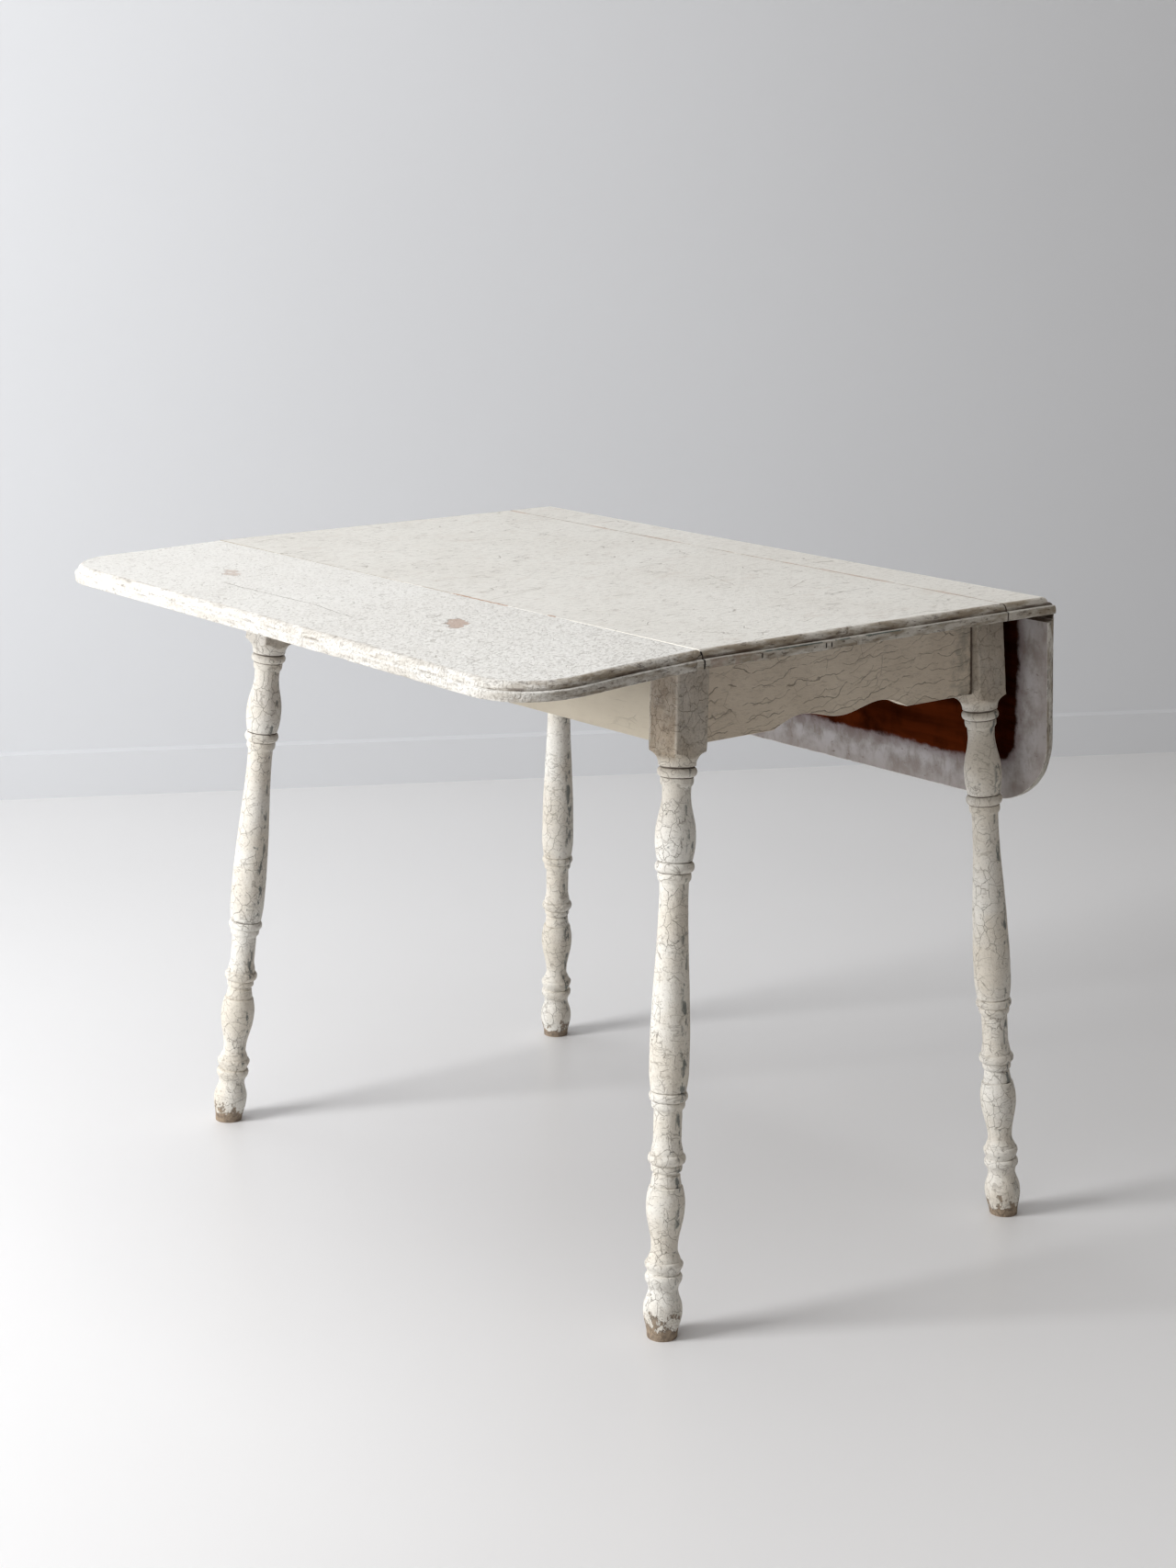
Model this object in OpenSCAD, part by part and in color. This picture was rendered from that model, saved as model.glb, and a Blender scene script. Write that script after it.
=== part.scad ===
// Drop-leaf table: a fixed top on four splayed turned legs, with two hinged leaves.
// Origin: on the floor under the middle of the base. X runs across the leaves,
// Y runs along the hinges and Z is up. The left leaf is raised, the right one hangs.

/* [Top] */
// Height of the table top above the floor
table_h = 762; // [700:1:800]
// Thickness of the top and the leaves
board_t = 19; // [18:0.5:22]
// Length of the top and the leaves, along the hinges
top_l = 900; // [860:5:1100]
// Width of the fixed top, between the two leaf seams
top_w = 540; // [500:5:620]
// Width of the narrow board glued to one side of the fixed top
strip_w = 72; // [40:1:120]
// Width of a leaf, from its hinge axis to its outer edge
leaf_w = 238; // [200:1:260]
// Radius of the outer corners of a leaf
leaf_corner_r = 83; // [40:1:110]

/* [Leaf angles at rest] */
// How far the raised leaf sags below level, degrees
sag = 2; // [1:0.5:4]
// How far a hanging leaf has swung down from level, degrees
hang = 85.7; // [80:0.1:88]

/* [Legs] */
// Width of the square block at the head of a leg
block_w = 45; // [38:1:50]
// Distance of the leg axes from the middle at the top, across the leaves
leg_x = 231.5; // [220:0.5:232]
// Distance of the leg axes from the middle at the top, along the hinges
leg_y = 371.2; // [350:0.1:375]
// Outward lean of the legs across the leaves, as a slope
splay_x = 0.066; // [0:0.001:0.08]
// Outward lean of the legs along the hinges, as a slope
splay_y = 0.070; // [0:0.001:0.08]

/* [Aprons] */
// Height of the aprons
apron_h = 97; // [90:1:110]
// Thickness of the aprons
apron_t = 19; // [16:1:20]
// Depth of the two arches cut in the lower edge of an end apron
arch_h = 12.5; // [8:0.5:16]
// Distance of the outer end of the arches from the middle
arch_end = 106; // [90:1:130]

/* [Hinges] */
// Length of a hinge
hinge_l = 64; // [50:1:70]
// Distance of the hinges from the middle, along the hinge axis
hinge_y = 290; // [260:1:300]
// Radius of a hinge pin
pin_r = 2; // [1.8:0.05:2.2]
// Running clearance between a hinge pin and the turning leaf knuckles
pin_gap = 0.06; // [0.03:0.01:0.1]

/* [Folding stays] */
// Distance of the folding stays from the middle, along the hinges
stay_y = 120; // [100:1:180]
// Thickness of a stay link
link_t = 3; // [2.5:0.5:3]

/* [Hidden] */
$fn = 48;

left = -1;
right = 1;
near = -1;
far = 1;
over = 1; // how far a cutting shape runs past what it cuts

paint = "#e9e4d6";
apron_paint = "#d8cfbc";
leaf_paint = "#e4e2da";
bare_wood = "#8a6a4a";
iron = "#5a5550";
steel = "#8c8c88";

// Top and its moulded edge
underside_z = table_h - board_t;
half_l = top_l / 2;
half_w = top_w / 2;
step_h = 10;    // height of the lower layer of the moulded edge
step_in = 3.5;  // how far the upper layer is set in from the lower one
round_r = 8;    // rounding of the upper layer

// Rule joint: a rounded edge on the top turns inside a hollow edge on the leaf
quirk_h = 5;                                  // height of the square step at the seam
pivot_up = 3;                                 // hinge axis above the underside
rule_r = board_t - quirk_h - pivot_up;        // radius of the rounded edge
rule_gap = 1;                                 // gap between round and hollow
seam_gap = 0.4;                               // gap at the seam with the leaf level
hinge_z = underside_z + pivot_up;

// Legs
lean = sqrt(1 + splay_x * splay_x + splay_y * splay_y);
floor_x = leg_x + splay_x * underside_z;
floor_y = leg_y + splay_y * underside_z;
leg_head = table_h * lean;
// Turned features: height along the leg and radius there
shoulder_z = 628;   // foot of the cove that leads out to the block
shoulder_r = 15;    // height of that cove
cove_out = 12;      // how far it flares out
neck_r = 20.3;      // radius at its foot
shoulder_in = 18.7; // radius of the groove under it

// Aprons and tenons
apron_z = underside_z - apron_h;
end_face = 388;   // outer face of an end apron
side_face = 248;  // outer face of a side apron
tenon_t = 9;
tenon_h = 70;
tenon_up = 14;    // height of the tenons above the lower edge of the apron
tenon_x = 228;    // reach of an end apron's tenons
tenon_y = 368;    // reach of a side apron's tenons
tenon_root_x = 200;  // where the tenons start, inside the aprons
tenon_root_y = 340;

// Corner braces, batten and blocks
brace_h = 40;
brace_near_cut = 70;  // distance of the brace's faces from the apron corner
brace_far_cut = 95;
batten_w = 45;
batten_h = 30;
glue_block_s = 24;
glue_block_l = 50;
frame_screw_at = [for (x = [-190, 190], y = [-328, 328]) [x, y]];
batten_screw_at = [[-150, 0], [150, 0]];
frame_screw_r = 2.2;
frame_screw_bite = 13;  // how far a frame screw reaches into the top
frame_head_r = 4.2;
frame_head_h = 2.5;

// Hinges
knuckles = 5;
knuckle_r = 3.7;
knuckle_gap = 0.4;
knuckle_room = 0.9;
flap_t = 2;
flap_clear = 4.8;  // distance of a flap's full width from the hinge axis
top_flap_w = 38;
leaf_flap_w = 48;
flap_room = 0.7;
top_flap_screws = [[-14, -20], [-14, 20], [-30, 0]];
leaf_flap_screws = [[20, -20], [20, 20], [39, 0]];
screw_head_r = 3.4;
screw_r = 1.6;
screw_l = 12;

// Folding stays, measured from the hinge axis: out from it and up from it
apron_pin = [-14.6, -75];
leaf_pin = [74, -10.4];
stay_slack = 0.5;  // how far a straightened stay stays short of dead straight
plate_t = 2;
plate_l = 40;
plate_w = 18;
ear_r = 5;
link_r = 5;
link_half = 4.5;
stay_pin_r = 2.2;
link_bore_r = 2.26;
rivet_r = 3.5;
rivet_h = 1.3;
layer_gap = 0.4;
ear_t = 3;
stay_screw_r = 1.5;
stay_head_r = 3.2;
stay_head_h = 1.4;
stay_screw_l = 12;
stay_screw_z = 14;       // distance of a bracket's screws from its pin
apron_bracket_side = 3.6;  // how far the screws stand aside of the stay, clear of its links
leaf_bracket_side = -2.5;
rivet_gap = 0.1;         // gap between a link and the rivet head that holds it
// The four layers of a stay along Y, each given by its lower side
ear_a_y = -2 * link_t - layer_gap;
lower_y = -link_t - layer_gap / 2;
upper_y = layer_gap / 2;
ear_b_y = link_t + 3 * layer_gap / 2;

function drop_of(side) = side == left ? sag : hang;
function turned_down(p, a) = [p.x * cos(a) + p.y * sin(a), p.y * cos(a) - p.x * sin(a)];
function leaf_pin_at(a) = turned_down(leaf_pin, a);
link_l = (norm(leaf_pin_at(sag) - apron_pin) + stay_slack) / 2;
function elbow_at(a) =
    let (b = leaf_pin_at(a), d = b - apron_pin, half = norm(d) / 2)
    apron_pin + d / 2 + sqrt(link_l * link_l - half * half) * [-d.y, d.x] / norm(d);
function angle_of(v) = atan2(v.y, v.x);
function lower_angle(a) = angle_of(elbow_at(a) - apron_pin);
function upper_angle(a) = angle_of(elbow_at(a) - leaf_pin_at(a)) + a;

// ---- placing ----

// Build on the right and mirror to the left
module on(side) {
    if (side == right) children();
    else mirror([1, 0, 0]) children();
}

// Origin on the hinge axis, X out across the leaf
module at_hinge(side, y) {
    on(side) translate([half_w, y, hinge_z]) children();
}

// The same, turned with the leaf
module in_leaf(side, y) {
    on(side) translate([half_w, y, hinge_z]) rotate([0, drop_of(side), 0]) children();
}

// Along Y, starting at y
module along_y(y, length) {
    translate([0, y + length, 0]) rotate([90, 0, 0]) linear_extrude(length) children();
}

// ---- top and leaves ----

// Moulded edge: a rounded upper layer set in over a square lower one
function edge_points(out) = concat(
    [[0, 0], [out, 0], [out, step_h], [out - step_in, step_h]],
    [for (a = [0:15:90]) [out - step_in - round_r + round_r * cos(a), board_t - round_r + round_r * sin(a)]],
    [[0, board_t]]);

// A board along X whose two ends carry the moulded edge
module end_moulded(x, length) {
    for (s = [near, far])
        translate([x, 0, 0]) mirror([0, s == near ? 1 : 0, 0])
            rotate([90, 0, 90]) linear_extrude(length) polygon(edge_points(half_l));
}

module rule_profile() {
    polygon(concat(
        [[-half_w - rule_r, 0], [half_w + rule_r, 0]],
        [for (a = [0:9:90]) [half_w + rule_r * cos(a), pivot_up + rule_r * sin(a)]],
        [[half_w, board_t], [-half_w, board_t]],
        [for (a = [90:9:180]) [-half_w + rule_r * cos(a), pivot_up + rule_r * sin(a)]]));
}

module fixed_top() {
    difference() {
        translate([0, 0, underside_z]) intersection() {
            along_y(-half_l - over, top_l + 2 * over) rule_profile();
            end_moulded(-half_w - rule_r - over, top_w + 2 * rule_r + 2 * over);
        }
        for (s = [left, right], y = [-hinge_y, hinge_y]) at_hinge(s, y) {
            hinge_recess();
            countersunk_screws(top_flap_screws);
        }
        frame_screw_shapes();
    }
}

// Space in the underside of the top for one hinge
module hinge_recess() {
    room = hinge_l + 2 * knuckle_gap;
    along_y(-room / 2, room) {
        circle(knuckle_r + knuckle_room);
        translate([-knuckle_r - knuckle_room, -pivot_up - over])
            square([2 * (knuckle_r + knuckle_room), pivot_up + over]);
    }
    translate([-top_flap_w, -hinge_l / 2, -pivot_up]) cube([top_flap_w, hinge_l, flap_t]);
    translate([0, -room / 2, -pivot_up - over]) cube([rule_r + over, room, flap_t + flap_room + over]);
}

module top_board() {
    color(paint) intersection() {
        fixed_top();
        translate([-top_w, -top_l, 0]) cube([top_w + half_w - strip_w, 2 * top_l, table_h + over]);
    }
}

module top_strip() {
    color(paint) intersection() {
        fixed_top();
        translate([half_w - strip_w, -top_l, 0]) cube([top_w, 2 * top_l, table_h + over]);
    }
}

// A leaf lying level, with its hinge axis on Y
module leaf_blank() {
    straight_w = leaf_w - leaf_corner_r;
    straight_l = top_l - 2 * leaf_corner_r;
    translate([0, 0, -pivot_up]) {
        end_moulded(0, straight_w);
        translate([straight_w, 0, 0]) {
            along_y(-straight_l / 2, straight_l) polygon(edge_points(leaf_corner_r));
            for (s = [near, far])
                translate([0, s * straight_l / 2, 0]) mirror([0, s == near ? 1 : 0, 0])
                    rotate_extrude(angle = 90, $fn = 96) polygon(edge_points(leaf_corner_r));
        }
    }
}

module leaf_board(side) {
    hollow_r = rule_r + rule_gap;
    color(leaf_paint) difference() {
        in_leaf(side, 0) leaf_blank();
        in_leaf(side, 0) {
            along_y(-half_l - over, top_l + 2 * over) {
                circle(hollow_r);
                translate([-over, -board_t]) square([over + seam_gap, 2 * board_t]);
                translate([0, -board_t]) square([hollow_r, board_t]);
            }
        }
        for (y = [-hinge_y, hinge_y]) in_leaf(side, y) {
            translate([hollow_r - over, -hinge_l / 2, -pivot_up - over])
                cube([leaf_flap_w - hollow_r + over, hinge_l, flap_t + over]);
            countersunk_screws(leaf_flap_screws);
        }
        for (y = [-stay_y, stay_y]) in_leaf(side, y) leaf_bracket_screws();
    }
}

// ---- screws ----

// Points up, with its flat head at the bottom
module countersunk_screw() {
    cylinder(h = flap_t, r1 = screw_head_r, r2 = screw_r);
    cylinder(h = screw_l, r = screw_r);
}

module countersunk_screws(places) {
    for (p = places) translate([p.x, p.y, -pivot_up]) countersunk_screw();
}

module round_screw() {
    translate([0, 0, -stay_head_h]) cylinder(h = stay_head_h, r = stay_head_r);
    cylinder(h = stay_screw_l, r = stay_screw_r);
}

module apron_bracket_screws() {
    for (s = [-1, 1])
        translate([side_face - half_w + plate_t, apron_bracket_side, apron_pin.y + s * stay_screw_z])
            rotate([0, -90, 0]) round_screw();
}

module leaf_bracket_screws() {
    for (s = [-1, 1])
        translate([leaf_pin.x + s * stay_screw_z, leaf_bracket_side, -pivot_up - plate_t]) round_screw();
}

module frame_screw_shapes() {
    for (p = frame_screw_at) translate([p.x, p.y, underside_z - brace_h]) frame_screw(brace_h);
    for (p = batten_screw_at) translate([p.x, p.y, underside_z - batten_h]) frame_screw(batten_h);
}

module frame_screw(wood) {
    translate([0, 0, -frame_head_h]) cylinder(h = frame_head_h, r = frame_head_r);
    cylinder(h = wood + frame_screw_bite, r = frame_screw_r);
}

module frame_screws() {
    color(steel) {
        frame_screw_shapes();
        for (s = [left, right], y = [-hinge_y, hinge_y]) at_hinge(s, y) countersunk_screws(top_flap_screws);
        for (s = [left, right], y = [-stay_y, stay_y]) at_hinge(s, y) apron_bracket_screws();
    }
}

module leaf_screws(side) {
    color(steel) {
        for (y = [-hinge_y, hinge_y]) in_leaf(side, y) countersunk_screws(leaf_flap_screws);
        for (y = [-stay_y, stay_y]) in_leaf(side, y) leaf_bracket_screws();
    }
}

// ---- legs ----

// Smooth change of radius between two heights
function ease(z0, r0, z1, r1, n = 5) =
    [for (k = [0:n]) [r0 + (r1 - r0) * (1 - cos(180 * k / n)) / 2, z0 + (z1 - z0) * k / n]];

// Bulge that leaves a groove steeply and levels off at its widest
function swell(z0, r0, z1, r1, n = 4) =
    [for (k = [0:n]) [r0 + (r1 - r0) * sin(90 * k / n), z0 + (z1 - z0) * k / n]];

// The same, met from above
function swell_down(z0, r0, z1, r1, n = 4) =
    [for (k = [0:n]) [r1 + (r0 - r1) * cos(90 * k / n), z0 + (z1 - z0) * k / n]];

// A half-round ring
function bead(z, r, half, r_in) =
    [for (a = [-90:30:90]) [r_in + (r - r_in) * cos(a), z + half * sin(a)]];

function turning() = concat(
    [[0, 0]],
    ease(0, 16.4, 29, 21.3),
    ease(33, 21.3, 55, 16.3),
    ease(57, 17, 66, 20.6, 4),
    [[20.6, 68.5], [19.6, 70.8], [17.4, 71.6], [17.4, 72.4]],
    ease(73.2, 18, 81.5, 20.9, 4),
    [[20.9, 83.5], [19.8, 85.3]],
    ease(86.2, 18, 98, 14.5, 3),
    ease(99, 14.4, 147, 21.3, 7),
    swell_down(150, 21.3, 168.8, 18.6),
    [[16.4, 169.4], [16.4, 170.2]],
    ease(171, 16.7, 181.6, 15.4, 3),
    [[14, 183], [14, 185]],
    bead(189.8, 17.2, 3.4, 16.4),
    bead(199.9, 20.8, 5.4, 17.4),
    ease(207, 17.4, 220.7, 15.3, 4),
    ease(253.8, 15.5, 256.6, 17.8, 3),
    bead(260.4, 18.5, 3.2, 17.8),
    bead(269, 21.3, 5, 18),
    [[18.6, 274.8]],
    swell(275.4, 19.5, 300, 21.7),
    ease(320, 21.7, 497.4, 15.5, 9),
    ease(502, 15.6, 504.8, 17.4, 3),
    bead(508.8, 18.1, 3.8, 17.4),
    bead(519.2, 21.2, 5.5, 17.6),
    [[17.8, 525.4]],
    swell(526.2, 19, 547, 21.9),
    ease(553, 21.9, 597, 15.4, 6),
    ease(605, 15.7, 608, 17.6, 3),
    bead(611.9, 18.2, 3.4, 17.6),
    bead(621.1, 21.5, 5, 17.6),
    [[shoulder_in, shoulder_z - 1.4], [shoulder_in, shoulder_z - 0.5]],
    [for (a = [0:15:90]) [neck_r + cove_out * (1 - cos(a)), shoulder_z + shoulder_r * sin(a)]],
    [[block_w, shoulder_z + shoulder_r], [block_w, leg_head], [0, leg_head]]);

// Lean a shape standing on the floor point of a leg into the leg's own direction
module leaning(sx, sy) {
    tilt_y = -sx * atan(splay_x);
    tilt_x = sy * atan(splay_y * cos(tilt_y));
    translate([sx * floor_x, sy * floor_y, 0]) rotate([tilt_x, tilt_y, 0]) children();
}

module block_shape() {
    translate([-block_w / 2, -block_w / 2, -over]) cube([block_w, block_w, leg_head + over]);
}

module leg(sx, sy) {
    color(paint) difference() {
        intersection() {
            leaning(sx, sy) difference() {
                rotate_extrude() polygon(turning());
                translate([0, 0, shoulder_z]) difference() {
                    translate([-table_h, -table_h, 0]) cube([2 * table_h, 2 * table_h, table_h]);
                    translate([0, 0, -shoulder_z]) block_shape();
                }
            }
            translate([-table_h, -table_h, 0]) cube([2 * table_h, 2 * table_h, underside_z]);
        }
        end_tenons(sy);
        side_tenons(sx);
    }
}

// ---- aprons ----

module end_tenons(sy) {
    for (s = [left, right])
        translate([
            s == left ? -tenon_x : tenon_root_x,
            sy * (end_face - apron_t / 2) - tenon_t / 2,
            apron_z + tenon_up])
            cube([tenon_x - tenon_root_x, tenon_t, tenon_h]);
}

module side_tenons(sx) {
    for (s = [near, far])
        translate([
            sx * (side_face - apron_t / 2) - tenon_t / 2,
            s == near ? -tenon_y : tenon_root_y,
            apron_z + tenon_up])
            cube([tenon_t, tenon_y - tenon_root_y, tenon_h]);
}

// Height of the lower edge of an end apron above its straight part
function arch(x) =
    let (peak = 0.59 * arch_end, point = 0.24 * arch_h)
    x < peak
        ? point + (arch_h - point) * (1 - cos(180 * x / peak)) / 2
        : arch_h * cos(90 * (x - peak) / (arch_end - peak));

module end_apron(sy) {
    color(apron_paint) {
        difference() {
            translate([0, sy * (end_face - apron_t / 2) - apron_t / 2, apron_z])
                along_y(0, apron_t) polygon(concat(
                    [[-leg_x, apron_h], [-leg_x, 0]],
                    [for (k = [-12:12]) [arch_end * k / 12, arch(abs(arch_end * k / 12))]],
                    [[leg_x, 0], [leg_x, apron_h]]));
            for (sx = [left, right]) leaning(sx, sy) block_shape();
        }
        end_tenons(sy);
    }
}

module side_apron(sx) {
    color(apron_paint) {
        difference() {
            translate([sx * (side_face - apron_t / 2) - apron_t / 2, -leg_y, apron_z])
                cube([apron_t, 2 * leg_y, apron_h]);
            for (sy = [near, far]) leaning(sx, sy) block_shape();
            for (y = [-stay_y, stay_y]) at_hinge(sx, y) apron_bracket_screws();
        }
        side_tenons(sx);
    }
}

// ---- inside the frame ----

module brace(sx, sy) {
    inner_x = side_face - apron_t;
    inner_y = end_face - apron_t;
    color(bare_wood) difference() {
        translate([0, 0, underside_z - brace_h]) linear_extrude(brace_h) polygon([
            [sx * inner_x, sy * (inner_y - brace_near_cut)],
            [sx * inner_x, sy * (inner_y - brace_far_cut)],
            [sx * (inner_x - brace_far_cut), sy * inner_y],
            [sx * (inner_x - brace_near_cut), sy * inner_y]]);
        frame_screw_shapes();
    }
}

module cross_batten() {
    inner_x = side_face - apron_t;
    color(bare_wood) difference() {
        translate([-inner_x, -batten_w / 2, underside_z - batten_h])
            cube([2 * inner_x, batten_w, batten_h]);
        frame_screw_shapes();
    }
}

// Small three-sided blocks glued between the aprons and the top
module glue_blocks() {
    inner_x = side_face - apron_t;
    inner_y = end_face - apron_t;
    color(bare_wood) {
        for (s = [left, right], y = [-stay_y, stay_y])
            along_y(y - glue_block_l / 2, glue_block_l) polygon([
                [s * inner_x, underside_z], [s * inner_x, underside_z - glue_block_s],
                [s * (inner_x - glue_block_s), underside_z]]);
        for (s = [near, far])
            translate([-glue_block_l / 2, 0, 0]) rotate([90, 0, 90]) linear_extrude(glue_block_l) polygon([
                [s * inner_y, underside_z], [s * inner_y, underside_z - glue_block_s],
                [s * (inner_y - glue_block_s), underside_z]]);
    }
}

// ---- hinges, in the frame of the hinge axis ----

knuckle_l = hinge_l / knuckles;
function knuckle_y(k) = -hinge_l / 2 + k * knuckle_l;

module hinge_flap(w, list, bore, dir) {
    difference() {
        union() {
            translate([dir > 0 ? flap_clear : -w, -hinge_l / 2, -pivot_up])
                cube([w - flap_clear, hinge_l, flap_t]);
            for (k = list) {
                y = knuckle_y(k) + knuckle_gap / 2;
                along_y(y, knuckle_l - knuckle_gap) circle(knuckle_r);
                translate([dir > 0 ? 0 : -flap_clear, y, -pivot_up])
                    cube([flap_clear, knuckle_l - knuckle_gap, flap_t]);
            }
        }
        along_y(-hinge_l / 2 - over, hinge_l + 2 * over) circle(bore);
    }
}

module hinge_top_flap(side, y) {
    color(iron) at_hinge(side, y) difference() {
        hinge_flap(top_flap_w, [0, 2, 4], pin_r, -1);
        countersunk_screws(top_flap_screws);
    }
}

module hinge_leaf_flap(side, y) {
    color(iron) in_leaf(side, y) difference() {
        hinge_flap(leaf_flap_w, [1, 3], pin_r + pin_gap, 1);
        countersunk_screws(leaf_flap_screws);
    }
}

module hinge_pin(side, y) {
    color(steel) at_hinge(side, y) along_y(-hinge_l / 2, hinge_l) circle(pin_r);
}

// ---- folding stays ----

module stay_apron_bracket(side, y) {
    face = side_face - half_w;
    color(iron) at_hinge(side, y) {
        difference() {
            translate([face, -plate_w / 2, apron_pin.y - plate_l / 2]) cube([plate_t, plate_w, plate_l]);
            apron_bracket_screws();
        }
        along_y(ear_a_y, ear_t) translate(apron_pin) {
            circle(ear_r);
            translate([face - apron_pin.x, -ear_r]) square([apron_pin.x - face, 2 * ear_r]);
        }
        along_y(ear_a_y, upper_y - ear_a_y - layer_gap / 2) translate(apron_pin) circle(stay_pin_r);
        along_y(lower_y + link_t + rivet_gap, rivet_h) translate(apron_pin) circle(rivet_r);
    }
}

module stay_leaf_bracket(side, y) {
    color(iron) in_leaf(side, y) {
        difference() {
            translate([leaf_pin.x - plate_l / 2, -plate_w / 2, -pivot_up - plate_t])
                cube([plate_l, plate_w, plate_t]);
            leaf_bracket_screws();
        }
        along_y(ear_b_y, ear_t) translate(leaf_pin) {
            circle(ear_r);
            translate([-ear_r, 0]) square([2 * ear_r, -pivot_up - plate_t - leaf_pin.y]);
        }
        along_y(lower_y + link_t - rivet_gap, ear_b_y - lower_y - link_t + 2 * rivet_gap)
            translate(leaf_pin) circle(stay_pin_r);
        along_y(upper_y - rivet_gap - rivet_h, rivet_h) translate(leaf_pin) circle(rivet_r);
    }
}

// A flat bar with a bored eye at its start and a riveted eye at its end
module stay_link(rivet_y) {
    difference() {
        link_bar();
        along_y(-over, link_t + 2 * over) circle(link_bore_r);
    }
    along_y(rivet_y, rivet_h) translate([link_l, 0]) circle(rivet_r);
}

module link_bar() {
    along_y(0, link_t) {
        circle(link_r);
        translate([link_l, 0]) circle(link_r);
        translate([0, -link_half]) square([link_l, 2 * link_half]);
    }
}

module stay_lower_link(side, y) {
    color(iron) at_hinge(side, y) translate([apron_pin.x, lower_y, apron_pin.y])
        rotate([0, -lower_angle(drop_of(side)), 0]) stay_link(-rivet_h);
}

module stay_upper_link(side, y) {
    color(iron) in_leaf(side, y) translate([leaf_pin.x, upper_y, leaf_pin.y])
        rotate([0, -upper_angle(drop_of(side)), 0]) stay_link(link_t);
}

leg(left, near);  // leg_near_left
leg(right, near);  // leg_near_right
leg(left, far);  // leg_far_left
leg(right, far);  // leg_far_right
end_apron(near);  // apron_near
end_apron(far);  // apron_far
side_apron(left);  // apron_left
side_apron(right);  // apron_right
brace(left, near);  // brace_near_left
brace(right, near);  // brace_near_right
brace(left, far);  // brace_far_left
brace(right, far);  // brace_far_right
cross_batten();
glue_blocks();
top_board();
top_strip();
leaf_board(left);  // left_leaf_board
leaf_board(right);  // right_leaf_board
hinge_top_flap(left, -hinge_y);  // left_near_hinge_top_flap
hinge_leaf_flap(left, -hinge_y);  // left_near_hinge_leaf_flap
hinge_pin(left, -hinge_y);  // left_near_hinge_pin
hinge_top_flap(left, hinge_y);  // left_far_hinge_top_flap
hinge_leaf_flap(left, hinge_y);  // left_far_hinge_leaf_flap
hinge_pin(left, hinge_y);  // left_far_hinge_pin
hinge_top_flap(right, -hinge_y);  // right_near_hinge_top_flap
hinge_leaf_flap(right, -hinge_y);  // right_near_hinge_leaf_flap
hinge_pin(right, -hinge_y);  // right_near_hinge_pin
hinge_top_flap(right, hinge_y);  // right_far_hinge_top_flap
hinge_leaf_flap(right, hinge_y);  // right_far_hinge_leaf_flap
hinge_pin(right, hinge_y);  // right_far_hinge_pin
stay_apron_bracket(left, -stay_y);  // left_near_stay_apron_bracket
stay_lower_link(left, -stay_y);  // left_near_stay_lower_link
stay_upper_link(left, -stay_y);  // left_near_stay_upper_link
stay_leaf_bracket(left, -stay_y);  // left_near_stay_leaf_bracket
stay_apron_bracket(left, stay_y);  // left_far_stay_apron_bracket
stay_lower_link(left, stay_y);  // left_far_stay_lower_link
stay_upper_link(left, stay_y);  // left_far_stay_upper_link
stay_leaf_bracket(left, stay_y);  // left_far_stay_leaf_bracket
stay_apron_bracket(right, -stay_y);  // right_near_stay_apron_bracket
stay_lower_link(right, -stay_y);  // right_near_stay_lower_link
stay_upper_link(right, -stay_y);  // right_near_stay_upper_link
stay_leaf_bracket(right, -stay_y);  // right_near_stay_leaf_bracket
stay_apron_bracket(right, stay_y);  // right_far_stay_apron_bracket
stay_lower_link(right, stay_y);  // right_far_stay_lower_link
stay_upper_link(right, stay_y);  // right_far_stay_upper_link
stay_leaf_bracket(right, stay_y);  // right_far_stay_leaf_bracket
frame_screws();
leaf_screws(left);  // left_leaf_screws
leaf_screws(right);  // right_leaf_screws
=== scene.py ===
"""An old painted drop-leaf table on four splayed turned legs: one leaf raised, the other hanging."""

import math

import bpy
import numpy as np
from mathutils import Matrix, Vector


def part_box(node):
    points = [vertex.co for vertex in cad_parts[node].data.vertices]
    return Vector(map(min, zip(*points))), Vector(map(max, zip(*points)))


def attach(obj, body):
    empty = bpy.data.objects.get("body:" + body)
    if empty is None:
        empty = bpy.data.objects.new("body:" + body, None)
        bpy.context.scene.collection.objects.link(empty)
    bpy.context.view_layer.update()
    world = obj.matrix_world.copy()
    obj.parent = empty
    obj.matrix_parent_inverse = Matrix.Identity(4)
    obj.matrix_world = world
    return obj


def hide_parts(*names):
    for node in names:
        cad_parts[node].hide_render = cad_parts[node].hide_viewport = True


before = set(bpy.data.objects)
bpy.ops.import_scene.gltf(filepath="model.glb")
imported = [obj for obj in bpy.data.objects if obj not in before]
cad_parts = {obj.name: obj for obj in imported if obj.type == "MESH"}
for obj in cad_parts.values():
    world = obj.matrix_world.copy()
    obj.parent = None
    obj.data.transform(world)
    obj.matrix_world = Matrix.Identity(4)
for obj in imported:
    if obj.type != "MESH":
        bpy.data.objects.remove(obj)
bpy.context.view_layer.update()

# ---- sizes, in millimetres and degrees ----
MM = 0.001


def corners(node):
    """Lowest and highest corner of a CAD node, in millimetres."""
    return [[round(c / MM, 2) for c in corner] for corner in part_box(node)]


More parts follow.
